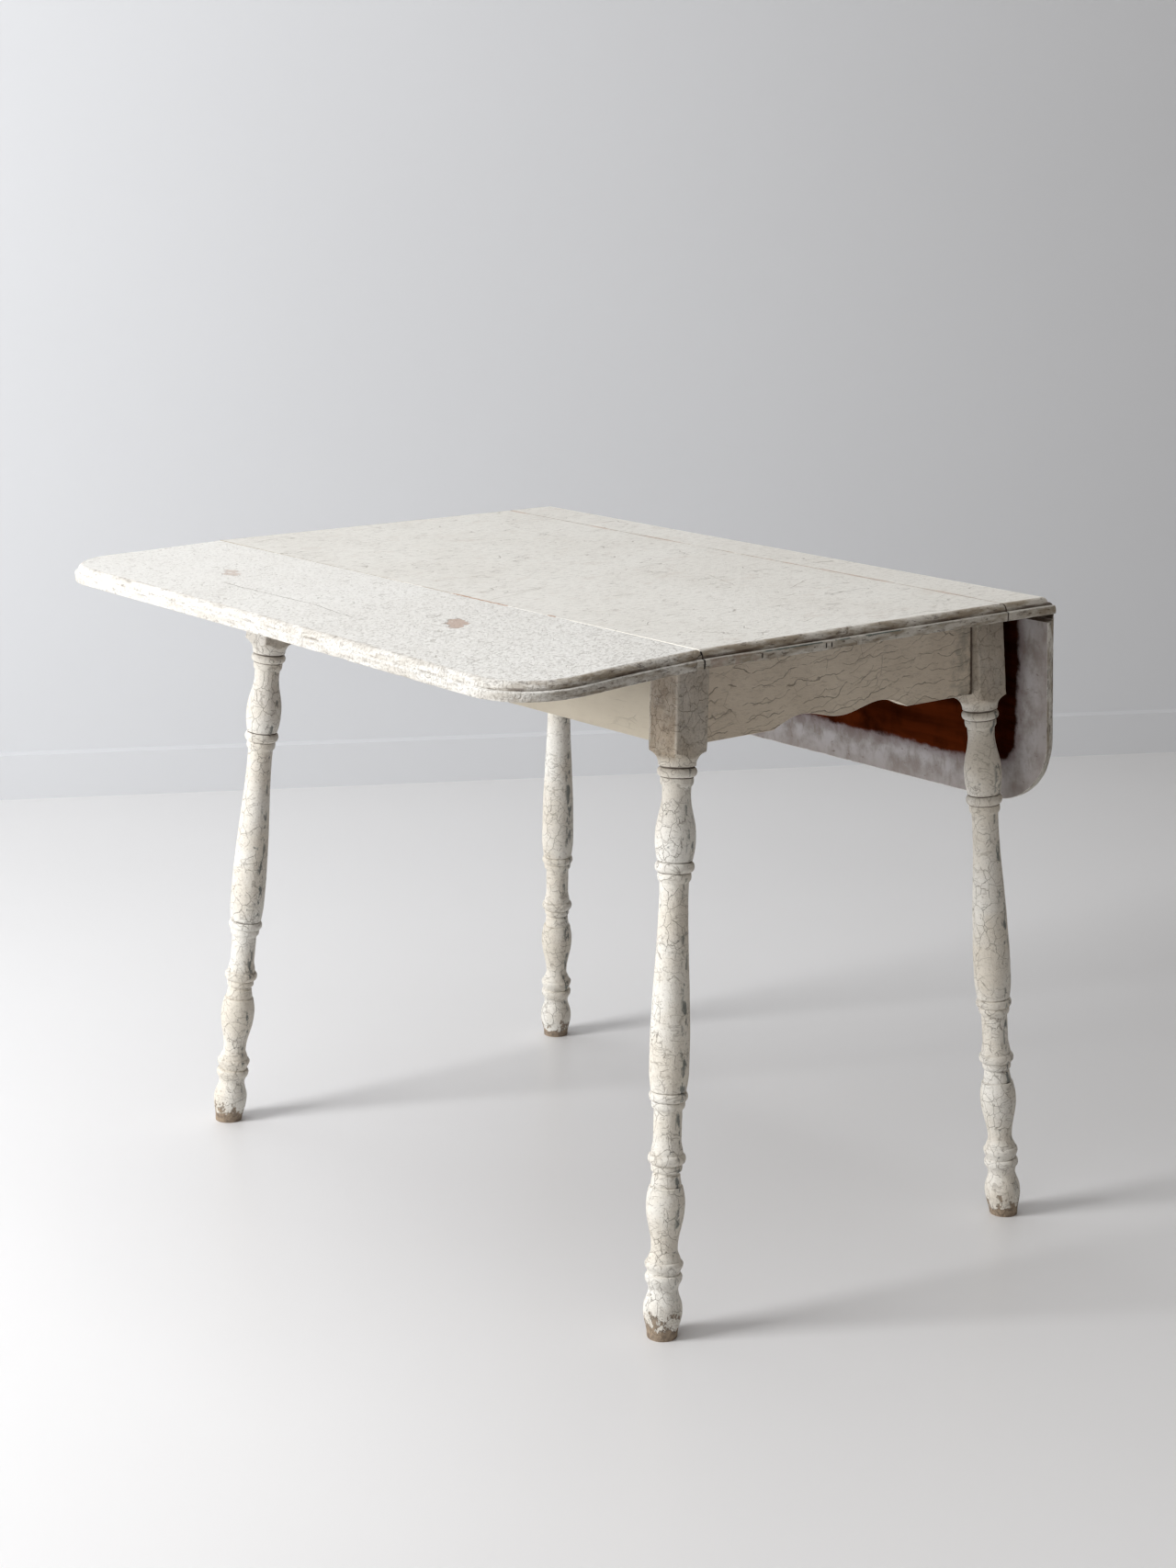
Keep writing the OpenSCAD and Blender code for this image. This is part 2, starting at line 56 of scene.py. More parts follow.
# read from the CAD nodes
board_low, board_high = corners("top_board")
pin_low, pin_high = corners("right_near_hinge_pin")
end_low, end_high = corners("apron_near")
side_low = corners("apron_left")[0]
UNDER_Z, TOP_Z = board_low[2], board_high[2]
BOARD = TOP_Z - UNDER_Z
HALF_L = board_high[1]
STRIP_X = board_high[0]
SEAM = (pin_low[0] + pin_high[0]) / 2
HINGE_Y = -(pin_low[1] + pin_high[1]) / 2
HINGE_HALF = (pin_high[1] - pin_low[1]) / 2
HINGE_Z = (pin_low[2] + pin_high[2]) / 2
PIVOT_UP = HINGE_Z - UNDER_Z
RULE_R = -board_low[0] - SEAM
APRON_Z = end_low[2]
APRON_T = end_high[1] - end_low[1]
END_FACE = -end_low[1]
SIDE_FACE = -side_low[0]
# the same values as in the CAD model
LEAF_W, LEAF_R = 238.0, 83.0
HOLLOW_R = 12.0
STEP_H, STEP_IN, ROUND_R = 10.0, 3.5, 8.0
SAG, HANG = 2.0, 85.7
BLOCK = 45.0
LEG_X, LEG_Y = 231.5, 371.2
SPLAY_X, SPLAY_Y = 0.066, 0.070
FLOOR_X = LEG_X + SPLAY_X * UNDER_Z
FLOOR_Y = LEG_Y + SPLAY_Y * UNDER_Z
SHOULDER_Z, SHOULDER_R = 628.0, 15.0
COVE_OUT, NECK_R = 12.0, 20.3
ARCH_H, ARCH_END = 12.5, 106.0
LEFT, RIGHT = -1, 1
NEAR, FAR = -1, 1
# only the visual meshes' own
LOWER_ARRIS = 0.8  # rounding of the lowest arris, and of the arrises at the seam
FLAT_FROM = 12.5  # where the flat faces begin, in from a moulded edge
EDGE_TO = 13.0  # how far in a moulded edge's wear and weathering reach
FLAP_X, FLAP_U = 231.8, 48.5  # ends of the hinge recesses in the top and in a leaf
FLAP_DEEP, FLAP_CLEAR, KNUCKLE_DEEP = 2.25, 2.9, 7.8
KNUCKLE_HALF = 4.7
END_REACH, SIDE_REACH = 216.0, 356.0  # half lengths that the aprons' columns are shared out over
CLOSE_X = 262.0  # from here to the seam the top's rows lie closer


# ---- smooth random heights ----
def hashed(cell, seed):
    """A fixed random number from -1 to 1 for each whole-numbered cell."""
    a, b, c = cell[..., 0] * 73856093, cell[..., 1] * 19349663, cell[..., 2] * 83492791
    h = (a ^ b ^ c ^ (seed * 2654435761)) & 0xFFFFFFFF
    for _ in range(2):
        h = ((h ^ (h >> 16)) * 0x45D9F3B) & 0xFFFFFFFF
    return ((h ^ (h >> 16)) & 0xFFFF) / 32767.5 - 1.0


def bumps(points, size, seed):
    """Smooth random heights from -1 to 1 at points, with features about size wide."""
    p = points / np.asarray(size, float)
    cell = np.floor(p).astype(np.int64)
    f = p - cell
    f = f * f * (3 - 2 * f)
    total = np.zeros(p.shape[:-1])
    for i in (0, 1):
        for j in (0, 1):
            for k in (0, 1):
                weight = (
                    (f[..., 0] if i else 1 - f[..., 0])
                    * (f[..., 1] if j else 1 - f[..., 1])
                    * (f[..., 2] if k else 1 - f[..., 2])
                )
                total += weight * hashed(cell + np.array([i, j, k]), seed)
    return total


def smooth(x, low, high):
    """0 up to low, 1 from high, and an even step between."""
    t = np.clip((np.asarray(x, float) - low) / (high - low), 0, 1)
    return t * t * (3 - 2 * t)


# ---- node trees ----
def colour(code):
    """The linear colour of an sRGB code such as e9e4d6."""
    parts = [int(code[i : i + 2], 16) / 255 for i in (0, 2, 4)]
    return [p / 12.92 if p <= 0.04045 else ((p + 0.055) / 1.055) ** 2.4 for p in parts] + [1.0]


class Shader:
    """A material under construction. Each method adds nodes and returns a socket."""

    def __init__(self, name):
        self.mat = bpy.data.materials.new(name)
        self.mat.use_nodes = True
        self.tree = self.mat.node_tree
        self.tree.nodes.clear()

    def node(self, kind, inputs, **settings):
        n = self.tree.nodes.new(kind)
        for key, value in settings.items():
            setattr(n, key, value)
        for key, value in inputs.items():
            if isinstance(value, bpy.types.NodeSocket):
                self.tree.links.new(value, n.inputs[key])
            else:
                n.inputs[key].default_value = value
        return n

    def math(self, operation, a, b=0.0):
        return self.node("ShaderNodeMath", {0: a, 1: b}, operation=operation).outputs[0]

    def add(self, a, b):
        return self.math("ADD", a, b)

    def sub(self, a, b):
        return self.math("SUBTRACT", a, b)

    def mul(self, a, b):
        return self.math("MULTIPLY", a, b)

    def most(self, first, *others):
        for other in others:
            first = self.math("MAXIMUM", first, other)
        return first

    def away(self, value, middle=0.0):
        """How far a value is from a middle one."""
        return self.math("ABSOLUTE", self.sub(value, middle))

    def ramp(self, value, low, high, start=0.0, end=1.0):
        """start up to low, end from high, and an even step between."""
        n = self.node(
            "ShaderNodeMapRange",
            {"Value": value, "From Min": low, "From Max": high, "To Min": start, "To Max": end},
            interpolation_type="SMOOTHSTEP",
        )
        return n.outputs[0]

    def below(self, value, low, high):
        """1 up to low, 0 from high."""
        return self.ramp(value, low, high, 1.0, 0.0)

    def band(self, value, low, high, soft):
        """1 between low and high, 0 outside."""
        return self.mul(self.ramp(value, low - soft, low), self.below(value, high, high + soft))

    def mix(self, share, a, b):
        return self.node("ShaderNodeMix", {0: share, 6: a, 7: b}, data_type="RGBA").outputs[2]

    def tint(self, base, share, code):
        """The base colour with a share of another over it."""
        return self.mix(share, base, colour(code))

    def vector(self, operation, a, b):
        return self.node("ShaderNodeVectorMath", {0: a, 1: b}, operation=operation).outputs[0]

    def stretched(self, vector, x, y, z):
        return self.vector("MULTIPLY", vector, (x, y, z))

    def dot(self, a, b):
        return self.node("ShaderNodeVectorMath", {0: a, 1: b}, operation="DOT_PRODUCT").outputs["Value"]

    def parts(self, vector):
        return self.node("ShaderNodeSeparateXYZ", {0: vector}).outputs

    def value(self, name):
        """One of the mesh's own values at each point."""
        return self.node("ShaderNodeAttribute", {}, attribute_name=name).outputs["Fac"]

    def place(self):
        """The place on the piece that its mesh gives, whatever the pose."""
        return self.node("ShaderNodeAttribute", {}, attribute_name="loc").outputs["Vector"]

    def object_place(self):
        return self.node("ShaderNodeTexCoord", {}).outputs["Object"]

    def noise(self, vector, scale, detail=3.0, rough=0.55):
        n = self.node(
            "ShaderNodeTexNoise",
            {"Vector": vector, "Scale": scale, "Detail": detail, "Roughness": rough},
        )
        return n.outputs["Fac"]

    def patches(self, vector, scale, low, high, start=0.0, end=1.0, detail=3.0, rough=0.55):
        """Soft patches: end where a noise is over high, start where it is under low."""
        return self.ramp(self.noise(vector, scale, detail, rough), low, high, start, end)

    def ripple(self, vector, scale, size, detail=3.0, rough=0.55):
        """Noise about zero, size from its lowest to its highest."""
        return self.mul(self.sub(self.noise(vector, scale, detail, rough), 0.5), size)

    def warp(self, vector, scale, amount):
        """The vector pushed about by noise."""
        n = self.node("ShaderNodeTexNoise", {"Vector": vector, "Scale": scale, "Detail": 2.0})
        push = self.vector("SUBTRACT", n.outputs["Color"], (0.5, 0.5, 0.5))
        return self.vector("ADD", vector, self.stretched(push, amount, amount, amount))

    def edges(self, vector, scale):
        """Distance from the edge of a random cell."""
        n = self.node(
            "ShaderNodeTexVoronoi",
            {"Vector": vector, "Scale": scale, "Randomness": 1.0},
            feature="DISTANCE_TO_EDGE",
        )
        return n.outputs["Distance"]

    def cracks(self, vector, stretch, scale, width, shown, shown_scale, wobble):
        """Thin lines round random cells, squeezed by stretch along each axis. shown is the range of a noise
        over which they appear."""
        bent = self.warp(self.warp(vector, 1 / (6 * wobble), wobble), 400.0, 0.0012)
        gap = self.edges(self.stretched(bent, *stretch), scale)
        return self.mul(self.below(gap, 0.0, width), self.patches(vector, shown_scale, *shown))

    def wandering(self, vector, scale, width):
        """Thin lines that wander along the level lines of a noise."""
        return self.below(self.away(self.noise(vector, scale, 1.5, 0.5), 0.5), 0.0, width)

    def scratch(self, vector, start, end, width, wobble=0.003):
        """A wavering line from start to end, two points in metres."""
        a, b = Vector((*start, 0)), Vector((*end, 0))
        reach = (b - a).length
        along = (b - a).normalized()
        across = Vector((-along.y, along.x, 0))
        from_start = self.vector("SUBTRACT", vector, a)
        t = self.dot(from_start, along)
        wave = self.ripple(vector, 35.0, wobble * 2, 4.0)
        off = self.away(self.add(self.dot(from_start, across), wave))
        inside = self.mul(self.ramp(t, 0.0, 0.1 * reach), self.below(t, 0.85 * reach, reach))
        return self.mul(self.below(off, width * 0.3, width), inside)

    def spot(self, vector, centre, size, ragged):
        """A ragged patch about size wide round centre, in metres."""
        from_centre = self.vector("SUBTRACT", vector, (*centre, 0))
        scaled = self.stretched(from_centre, 1 / size[0], 1 / size[1], 0.0)
        length = self.node("ShaderNodeVectorMath", {0: scaled}, operation="LENGTH").outputs["Value"]
        length = self.add(length, self.ripple(vector, 1.6 / max(size), ragged * 4, 4.0, 0.7))
        return self.below(length, 0.85, 1.0)

    def finish(self, base, rough, height=None, depth=0.0004, metallic=0.0, specular=0.5):
        """The material itself. depth is how far height from 0 to 1 stands out, in metres."""
        inputs = {
            "Base Color": base,
            "Roughness": rough,
            "Metallic": metallic,
            "Specular IOR Level": specular,
        }
        if height is not None:
            bump = self.node("ShaderNodeBump", {"Strength": 1.0, "Distance": depth, "Height": height})
            inputs["Normal"] = bump.outputs[0]
        shader = self.node("ShaderNodeBsdfPrincipled", inputs)
        out = self.tree.nodes.new("ShaderNodeOutputMaterial")
        self.tree.links.new(shader.outputs[0], out.inputs["Surface"])
        return self.mat


CRACK = "6f6354"
GRIME_AND_SHADE = "463325"
STAIN = "87775f"
TEAL = "66726c"
TAN = "b0907a"


def painted(name, pale, dull, cracked, marks, cloud, speck, crack_share, grain=(1.0, 1.0, 1.0),
            relief=0.0005, rough=0.6):
    """Old oil paint. cracked returns the cracks' lines, and marks adds what only this surface has. cloud is
    the scale and share of the dull patches, and speck is how much the flakes show. Mouldings are weathered,
    arrises are worn to a grey-green under coat and to wood, and grime_and_shade darkens the paint: grime in
    grooves, and painted shade in the moulding's groove and round and along the aprons' tops and end joints."""
    s = Shader(name)
    loc = s.place()
    weather = s.value("weather")
    along = s.stretched(loc, *grain)
    drawn = s.stretched(loc, 0.35, 0.35, 1.3)
    scale, share = cloud
    base = s.mix(s.patches(loc, scale, 0.35, 0.65, 0.0, share, 4.0), colour(pale), colour(dull))
    flake = s.noise(along, 300.0, 4.0, 0.75)
    base = s.tint(base, s.ramp(flake, 0.5, 0.72, 0.0, speck), CRACK)
    lines = cracked(s, loc)
    base = s.tint(base, s.mul(lines, crack_share), CRACK)
    height = s.sub(flake, lines)
    stain = s.patches(drawn, 75.0, 0.38, 0.62, 0.3, 0.85, 5.0, 0.65)
    base = s.tint(base, s.mul(weather, stain), STAIN)
    nick = s.mul(weather, s.patches(drawn, 230.0, 0.57, 0.66, 0.0, 1.0, 4.0, 0.65))
    base = s.tint(base, s.mul(nick, 0.65), GRIME_AND_SHADE)
    if marks:
        base, height = marks(s, loc, base, height)
    chance = s.add(s.mul(s.value("wear"), 0.6), s.mul(s.noise(along, 75.0, 5.0, 0.65), 0.8))
    through = s.ramp(chance, 0.84, 0.87)
    base = s.tint(base, s.mul(through, 0.5), TEAL)
    base = s.tint(base, s.ramp(chance, 0.91, 0.94, 0.0, 0.8), TAN)
    # grime, and painted shade where grime_and_shade marks it: the moulding's groove and round, the aprons'
    # tops and end joints
    dirt_and_shade = s.add(s.value("grime_and_shade"), s.mul(s.noise(drawn, 95.0, 4.0), 0.7))
    base = s.tint(base, s.ramp(dirt_and_shade, 0.7, 1.0, 0.0, 0.85), GRIME_AND_SHADE)
    height = s.sub(height, s.mul(s.add(through, nick), 0.8))
    return s.finish(base, s.add(s.mul(flake, 0.25), rough - 0.12), height, relief)


def bare_wood(name, pale, dark, deep, grain):
    """Old unpainted softwood, darkened with age."""
    s = Shader(name)
    loc = s.object_place()
    along = s.stretched(s.warp(loc, 6.0, 0.01), *grain)
    rings = s.noise(along, 40.0, 6.0, 0.65)
    pores = s.noise(along, 190.0, 4.0, 0.7)
    base = s.mix(s.ramp(rings, 0.35, 0.7), colour(pale), colour(dark))
    base = s.tint(base, s.ramp(pores, 0.5, 0.75, 0.0, 0.5), deep)
    base = s.tint(base, s.patches(loc, 11.0, 0.45, 0.7, 0.0, 0.4, 4.0), deep)
    return s.finish(base, s.add(0.62, s.mul(pores, 0.25)), s.add(s.mul(pores, 0.6), rings), 0.0003)


def metal(name, pale, dark, rust, rust_share, rough):
    """Old iron or steel: pitted, dulled and rusty in places."""
    s = Shader(name)
    loc = s.object_place()
    pits = s.noise(loc, 500.0, 5.0, 0.7)
    base = s.mix(s.ramp(pits, 0.35, 0.7), colour(pale), colour(dark))
    rusty = s.patches(loc, 90.0, 0.62 - rust_share, 0.72 - rust_share, 0.0, 1.0, 5.0, 0.65)
    base = s.tint(base, rusty, rust)
    bright = s.sub(0.9, s.mul(rusty, 0.8))
    return s.finish(base, s.add(s.mul(pits, 0.3), rough), pits, 0.0002, metallic=bright)


# ---- making pieces ----
def piece(name, verts, faces, body, materials, node, which, attributes, crease=38):
    """A mesh object in place of a CAD node, from points in millimetres. which says the material of each face,
    and an edge is sharp where its faces turn by more than crease degrees."""
    mesh = bpy.data.meshes.new(name)
    mesh.from_pydata((np.asarray(verts) * MM).tolist(), [], faces)
    for m in materials:
        mesh.materials.append(m)
    mesh.polygons.foreach_set("material_index", np.asarray(which, np.int32))
    mesh.polygons.foreach_set("use_smooth", np.ones(len(mesh.polygons), bool))
    mesh.set_sharp_from_angle(angle=math.radians(crease))
    for key, data in attributes.items():
        data = np.asarray(data, np.float32)
        if data.ndim == 2:
            layer = mesh.attributes.new(key, "FLOAT_VECTOR", "POINT")
            layer.data.foreach_set("vector", (data * MM).ravel())
        else:
            layer = mesh.attributes.new(key, "FLOAT", "POINT")
            layer.data.foreach_set("value", data)
    obj = bpy.data.objects.new(name, mesh)
    bpy.context.scene.collection.objects.link(obj)
    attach(obj, body)
    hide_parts(node)


PART_TOP, PART_UNDER, PART_WALL = 0, 1, 2


def loft(near, far, stations):
    """A closed board. near and far hold, for each level from the bottom up, a row of points along the near
    end and the matching row along the far end. The upper and lower faces are filled at the stations between
    the ends. Returns the points, the faces, the part of the board each face is in and each point's level."""
    levels, n = near.shape[:2]
    m = len(stations)
    index = np.full((levels, n, m), -1)
    points, level_of = [], []
    count = 0
    for k in range(levels):
        t = stations[None, :, None]
        grid = near[k][:, None, :] * (1 - t) + far[k][:, None, :] * t
        keep = np.ones((n, m), bool)
        if 0 < k < levels - 1:
            keep[1:-1, 1:-1] = False
        size = int(keep.sum())
        index[k][keep] = count + np.arange(size)
        count += size
        points.append(grid[keep])
        level_of.append(np.full(size, k))
    faces, part = [], []

    def quads(a, b, c, d, kind):
        q = np.stack([a.ravel(), b.ravel(), c.ravel(), d.ravel()], 1)
        faces.append(q)
        part.append(np.full(len(q), kind))

    top, under = index[-1], index[0]
    quads(top[:-1, :-1], top[1:, :-1], top[1:, 1:], top[:-1, 1:], PART_TOP)
    quads(under[:-1, :-1], under[:-1, 1:], under[1:, 1:], under[1:, :-1], PART_UNDER)
    for k in range(levels - 1):
        low, high = ring(index[k]), ring(index[k + 1])
        quads(low, np.roll(low, -1), np.roll(high, -1), high, PART_WALL)
    return np.concatenate(points), np.concatenate(faces), np.concatenate(part), np.concatenate(level_of)


def skin(rings, n):
    """The faces between rings of n points, and the two ends."""
    faces = []
    for i in range(rings - 1):
        for j in range(n):
            k = (j + 1) % n
            faces.append((i * n + j, i * n + k, (i + 1) * n + k, (i + 1) * n + j))
    last = (rings - 1) * n
    return faces + [tuple(range(n - 1, -1, -1)), tuple(range(last, last + n))]


def ring(grid):
    """The border of a grid of indices, in order round it."""
    return np.concatenate([grid[:, 0], grid[-1, 1:], grid[-2::-1, -1], grid[0, -2:0:-1]])


def rounded(radius, rise):
    """How far a rounding of this radius stands in, at rise past where it begins."""
    return radius - math.sqrt(max(radius**2 - max(rise, 0) ** 2, 0))


def edge_inset(z):
    """How far the moulded edge stands in from the outermost line at a height above the underside."""
    if z < LOWER_ARRIS:
        return rounded(LOWER_ARRIS, LOWER_ARRIS - z)
    if z <= STEP_H:
        return 0.0
    return STEP_IN + rounded(ROUND_R, z - STEP_H - 1)


# levels of the moulded edge: (height, inset, wear, grime_and_shade); the last is grime, and painted shade in
# the groove and at the foot of the round
MOULDING = [(0.0, 0.8, 0.4, 0.6), (0.25, 0.25, 0.6, 0.4), (0.8, 0.0, 0.6, 0.3), (3.0, 0.0, 0.2, 0.1),
            (4.9, 0.0, 0.1, 0.05), (6.8, 0.0, 0.1, 0.05), (8.3, 0.0, 0.2, 0.1), (9.2, 0.05, 0.5, 0.6),
            (9.7, 0.35, 0.7, 0.5), (10.0, 0.9, 0.3, 0.05), (10.05, 2.4, 0.0, 0.05), (10.15, 3.2, 0.0, 0.2),
            (10.4, 3.7, 0.0, 0.85), (10.8, 3.7, 0.0, 0.7), (11.0, 3.55, 0.0, 0.55)]
# the round's levels: wear near its middle, and grime with painted shade, darkest at its foot
for a in range(10, 91, 10):
    high = STEP_H + 1 + ROUND_R * math.sin(math.radians(a))
    worn = 0.1 + 0.3 * math.exp(-((a - 55) / 22) ** 2)
    MOULDING.append((high, edge_inset(high), worn, 0.58 * math.exp(-((a / 24) ** 2))))


def with_heights(extra):
    """The moulding's levels with more heights put in between."""
    rows = {round(row[0], 3): row for row in MOULDING}
    for z in extra:
        if all(abs(z - row[0]) > 0.12 for row in MOULDING):
            below = max((r for r in MOULDING if r[0] < z), key=lambda r: r[0])
            rows[round(z, 3)] = (z, edge_inset(z), below[2], below[3])
    return [rows[key] for key in sorted(rows)]


def stations():
    """Where a board is divided along its length, from 0 to 1, with lines at the ends of the recesses."""
    ends = [s * (HINGE_Y + side * (HINGE_HALF + d)) for s in (-1, 1) for side in (-1, 1) for d in (0.9, 1.2)]
    marks = [(y + HALF_L) / (2 * HALF_L) for y in ends]
    return np.unique(np.round(np.concatenate([np.linspace(0, 1, 331), marks]), 6))


def in_hinge(y):
    """Whether points along the table lie at a hinge."""
    return np.abs(np.abs(y) - HINGE_Y) < HINGE_HALF + 1.5


def rub_and_highlight(z, weather, grime_and_shade):
    """Weather and grime_and_shade, with the arris of the lower layer left pale: rubbed clean, and a painted
    highlight where the ledge catches the light.
    """
    rubbed = np.exp(-(((z - 9.8) / 0.7) ** 2))
    return weather * (1 - 0.75 * rubbed), grime_and_shade * (1 - 0.8 * rubbed)


def nicked(loc, wear, inside, level, wave, seed):
    """The depth of nicks in the worn edges, and how far they and a wave over the board lift each point."""
    nick = np.maximum(bumps(loc, (11, 11, 5), seed) - 0.35, 0) * 1.5 * (wear > 0.15) * ~inside
    return nick, np.where(level > 0, wave - np.where(loc[:, 2] > 9, nick, -nick) * 0.7, 0)


# ---- the fixed top ----
def rule_x(z):
    """Half width of the fixed top at a height above its underside: straight, rounded, then the quirk."""
    if z <= PIVOT_UP:
        return SEAM + RULE_R
    if z < PIVOT_UP + RULE_R:
        return SEAM + math.sqrt(RULE_R**2 - (z - PIVOT_UP) ** 2)
    return SEAM - rounded(LOWER_ARRIS, z - BOARD + LOWER_ARRIS)


def glue_x(z, side):
    """The glued joint's face, a hair away from the joint, with its corners a little rounded."""
    corner = max(z - BOARD + 0.7, 0) + max(0.5 - z, 0)
    return STRIP_X + side * (0.22 + 0.5 * corner**2)


def top_part(name, rows_of, seed, materials):
    """One of the two boards. rows_of gives the places across it at a height above its underside."""
    round_edge = [PIVOT_UP + RULE_R * math.sin(math.radians(b)) for b in range(0, 91, 10)]
    levels = with_heights(round_edge + [18.2, 18.6])
    near = np.array([[(x, -(HALF_L - inset), z) for x in rows_of(z)] for z, inset, _, _ in levels])
    verts, faces, part, level = loft(near, near * [1, -1, 1], stations())
    x, y, z = verts.T
    from_middle, rim = np.abs(x), HALF_L - np.abs(y)
    at_end = rim < EDGE_TO
    # recesses in the underside for the hinges
    hinged = in_hinge(y)
    under_flap = hinged & (from_middle > FLAP_X) & (from_middle < SEAM + RULE_R + 1)
    depth = np.where(under_flap, np.where(from_middle > SEAM + 4, FLAP_CLEAR, FLAP_DEEP), 0)
    depth = np.where(hinged & (np.abs(from_middle - SEAM) < KNUCKLE_HALF), KNUCKLE_DEEP, depth)
    verts[:, 2] = np.maximum(z, depth)
    loc = verts.copy()
    wear, grime_and_shade = np.array(levels).T[2:, level]
    flat = (level == 0) | (level == len(levels) - 1)
    inside = flat & (rim > FLAT_FROM)
    wear = np.where(inside, 0.12 * smooth(rim, 45, 12), wear)
    grime_and_shade = np.where(inside, 0, grime_and_shade)
    grime_and_shade = np.where((from_middle > SEAM - 0.5) & ~at_end & (z < 18), 0.4, grime_and_shade)
    at_glue = np.exp(-((x - STRIP_X) / 0.9) ** 2) * ((z > 17) | at_end)
    grime_and_shade = np.maximum(grime_and_shade, np.where(at_end, 1.0, 0.6) * at_glue)
    weather = np.where(flat, 0.0, np.where(y < 0, 1.0, 0.6)) * at_end
    weather = np.where(flat & ~inside, 0.3, weather)
    grime_and_shade = np.where(at_end, grime_and_shade * (0.62 + 0.38 * weather), grime_and_shade)
    weather, grime_and_shade = rub_and_highlight(z, weather, grime_and_shade)
    # slight unevenness of an old board, and nicks in its edges
    wave = 0.25 * bumps(loc, (120, 260, 40), seed) + 0.12 * bumps(loc, (35, 60, 40), seed + 1)
    nick, lift = nicked(loc, wear, inside, level, wave, seed + 2)
    verts[:, 2] = np.minimum(z + lift + UNDER_Z, TOP_Z)
    verts[:, 1] = y - np.sign(y) * np.where(at_end & ~inside, nick, 0)
    piece(name, verts, faces.tolist(), "frame", materials, name, part == PART_UNDER,
          {"loc": loc, "wear": wear, "grime_and_shade": grime_and_shade, "weather": weather})


def main_rows(z):
    """Places across the wide board, closer together at its edges and where the recesses end."""
    left = -rule_x(z)
    rows = [left + (-CLOSE_X - left) * f for f in (0, 0.06, 0.16, 0.35, 0.65)]
    rows += [-CLOSE_X, *np.arange(-256.0, 190.0, 6.0), -FLAP_X - 0.1, -FLAP_X + 0.2]
    return sorted(rows) + [glue_x(z, -1) - d for d in (4, 1.5, 0.5, 0)]


def strip_rows(z):
    """The same for the narrow board."""
    right = rule_x(z)
    rows = [glue_x(z, 1) + d for d in (0, 0.5, 1.5, 4)]
    rows += [*np.arange(207.0, 260.0, 5.0), FLAP_X - 0.2, FLAP_X + 0.1, CLOSE_X]
    return sorted(rows) + [right - (right - CLOSE_X) * f for f in (0.65, 0.35, 0.16, 0.06, 0)]


# ---- leaves ----
def hollow_u(w):
    """The leaf's inner face, out from the hinge axis: the rule joint's hollow, then the nose at the seam."""
    if w < 0:
        return HOLLOW_R
    nose = 0.4 + rounded(LOWER_ARRIS, w - (BOARD - PIVOT_UP) + LOWER_ARRIS)
    if w < HOLLOW_R:
        return max(nose, math.sqrt(HOLLOW_R**2 - w**2))
    return nose


def leaf_rows(z, inset):
    """The outline from the hinge side along the near end and round the corner, as distances out and along."""
    inner = hollow_u(z - PIVOT_UP)
    first = 14.0
    rows = [inner + (first - inner) * f for f in (0, 0.05, 0.12, 0.3, 0.6)]
    rows += [first, 17.0, 21.0, 26.0, 31.0, 36.0, 41.0, 45.0, FLAP_U - 0.2, FLAP_U + 0.1]
    rows += list(np.linspace(52, LEAF_W - LEAF_R, 32))
    points = [(u, -(HALF_L - inset)) for u in rows]
    r = LEAF_R - inset
    for a in np.linspace(0, 90, 37)[1:]:
        c, s = math.cos(math.radians(a)), math.sin(math.radians(a))
        points.append((LEAF_W - LEAF_R + r * s, -(HALF_L - LEAF_R) - r * c))
    return points


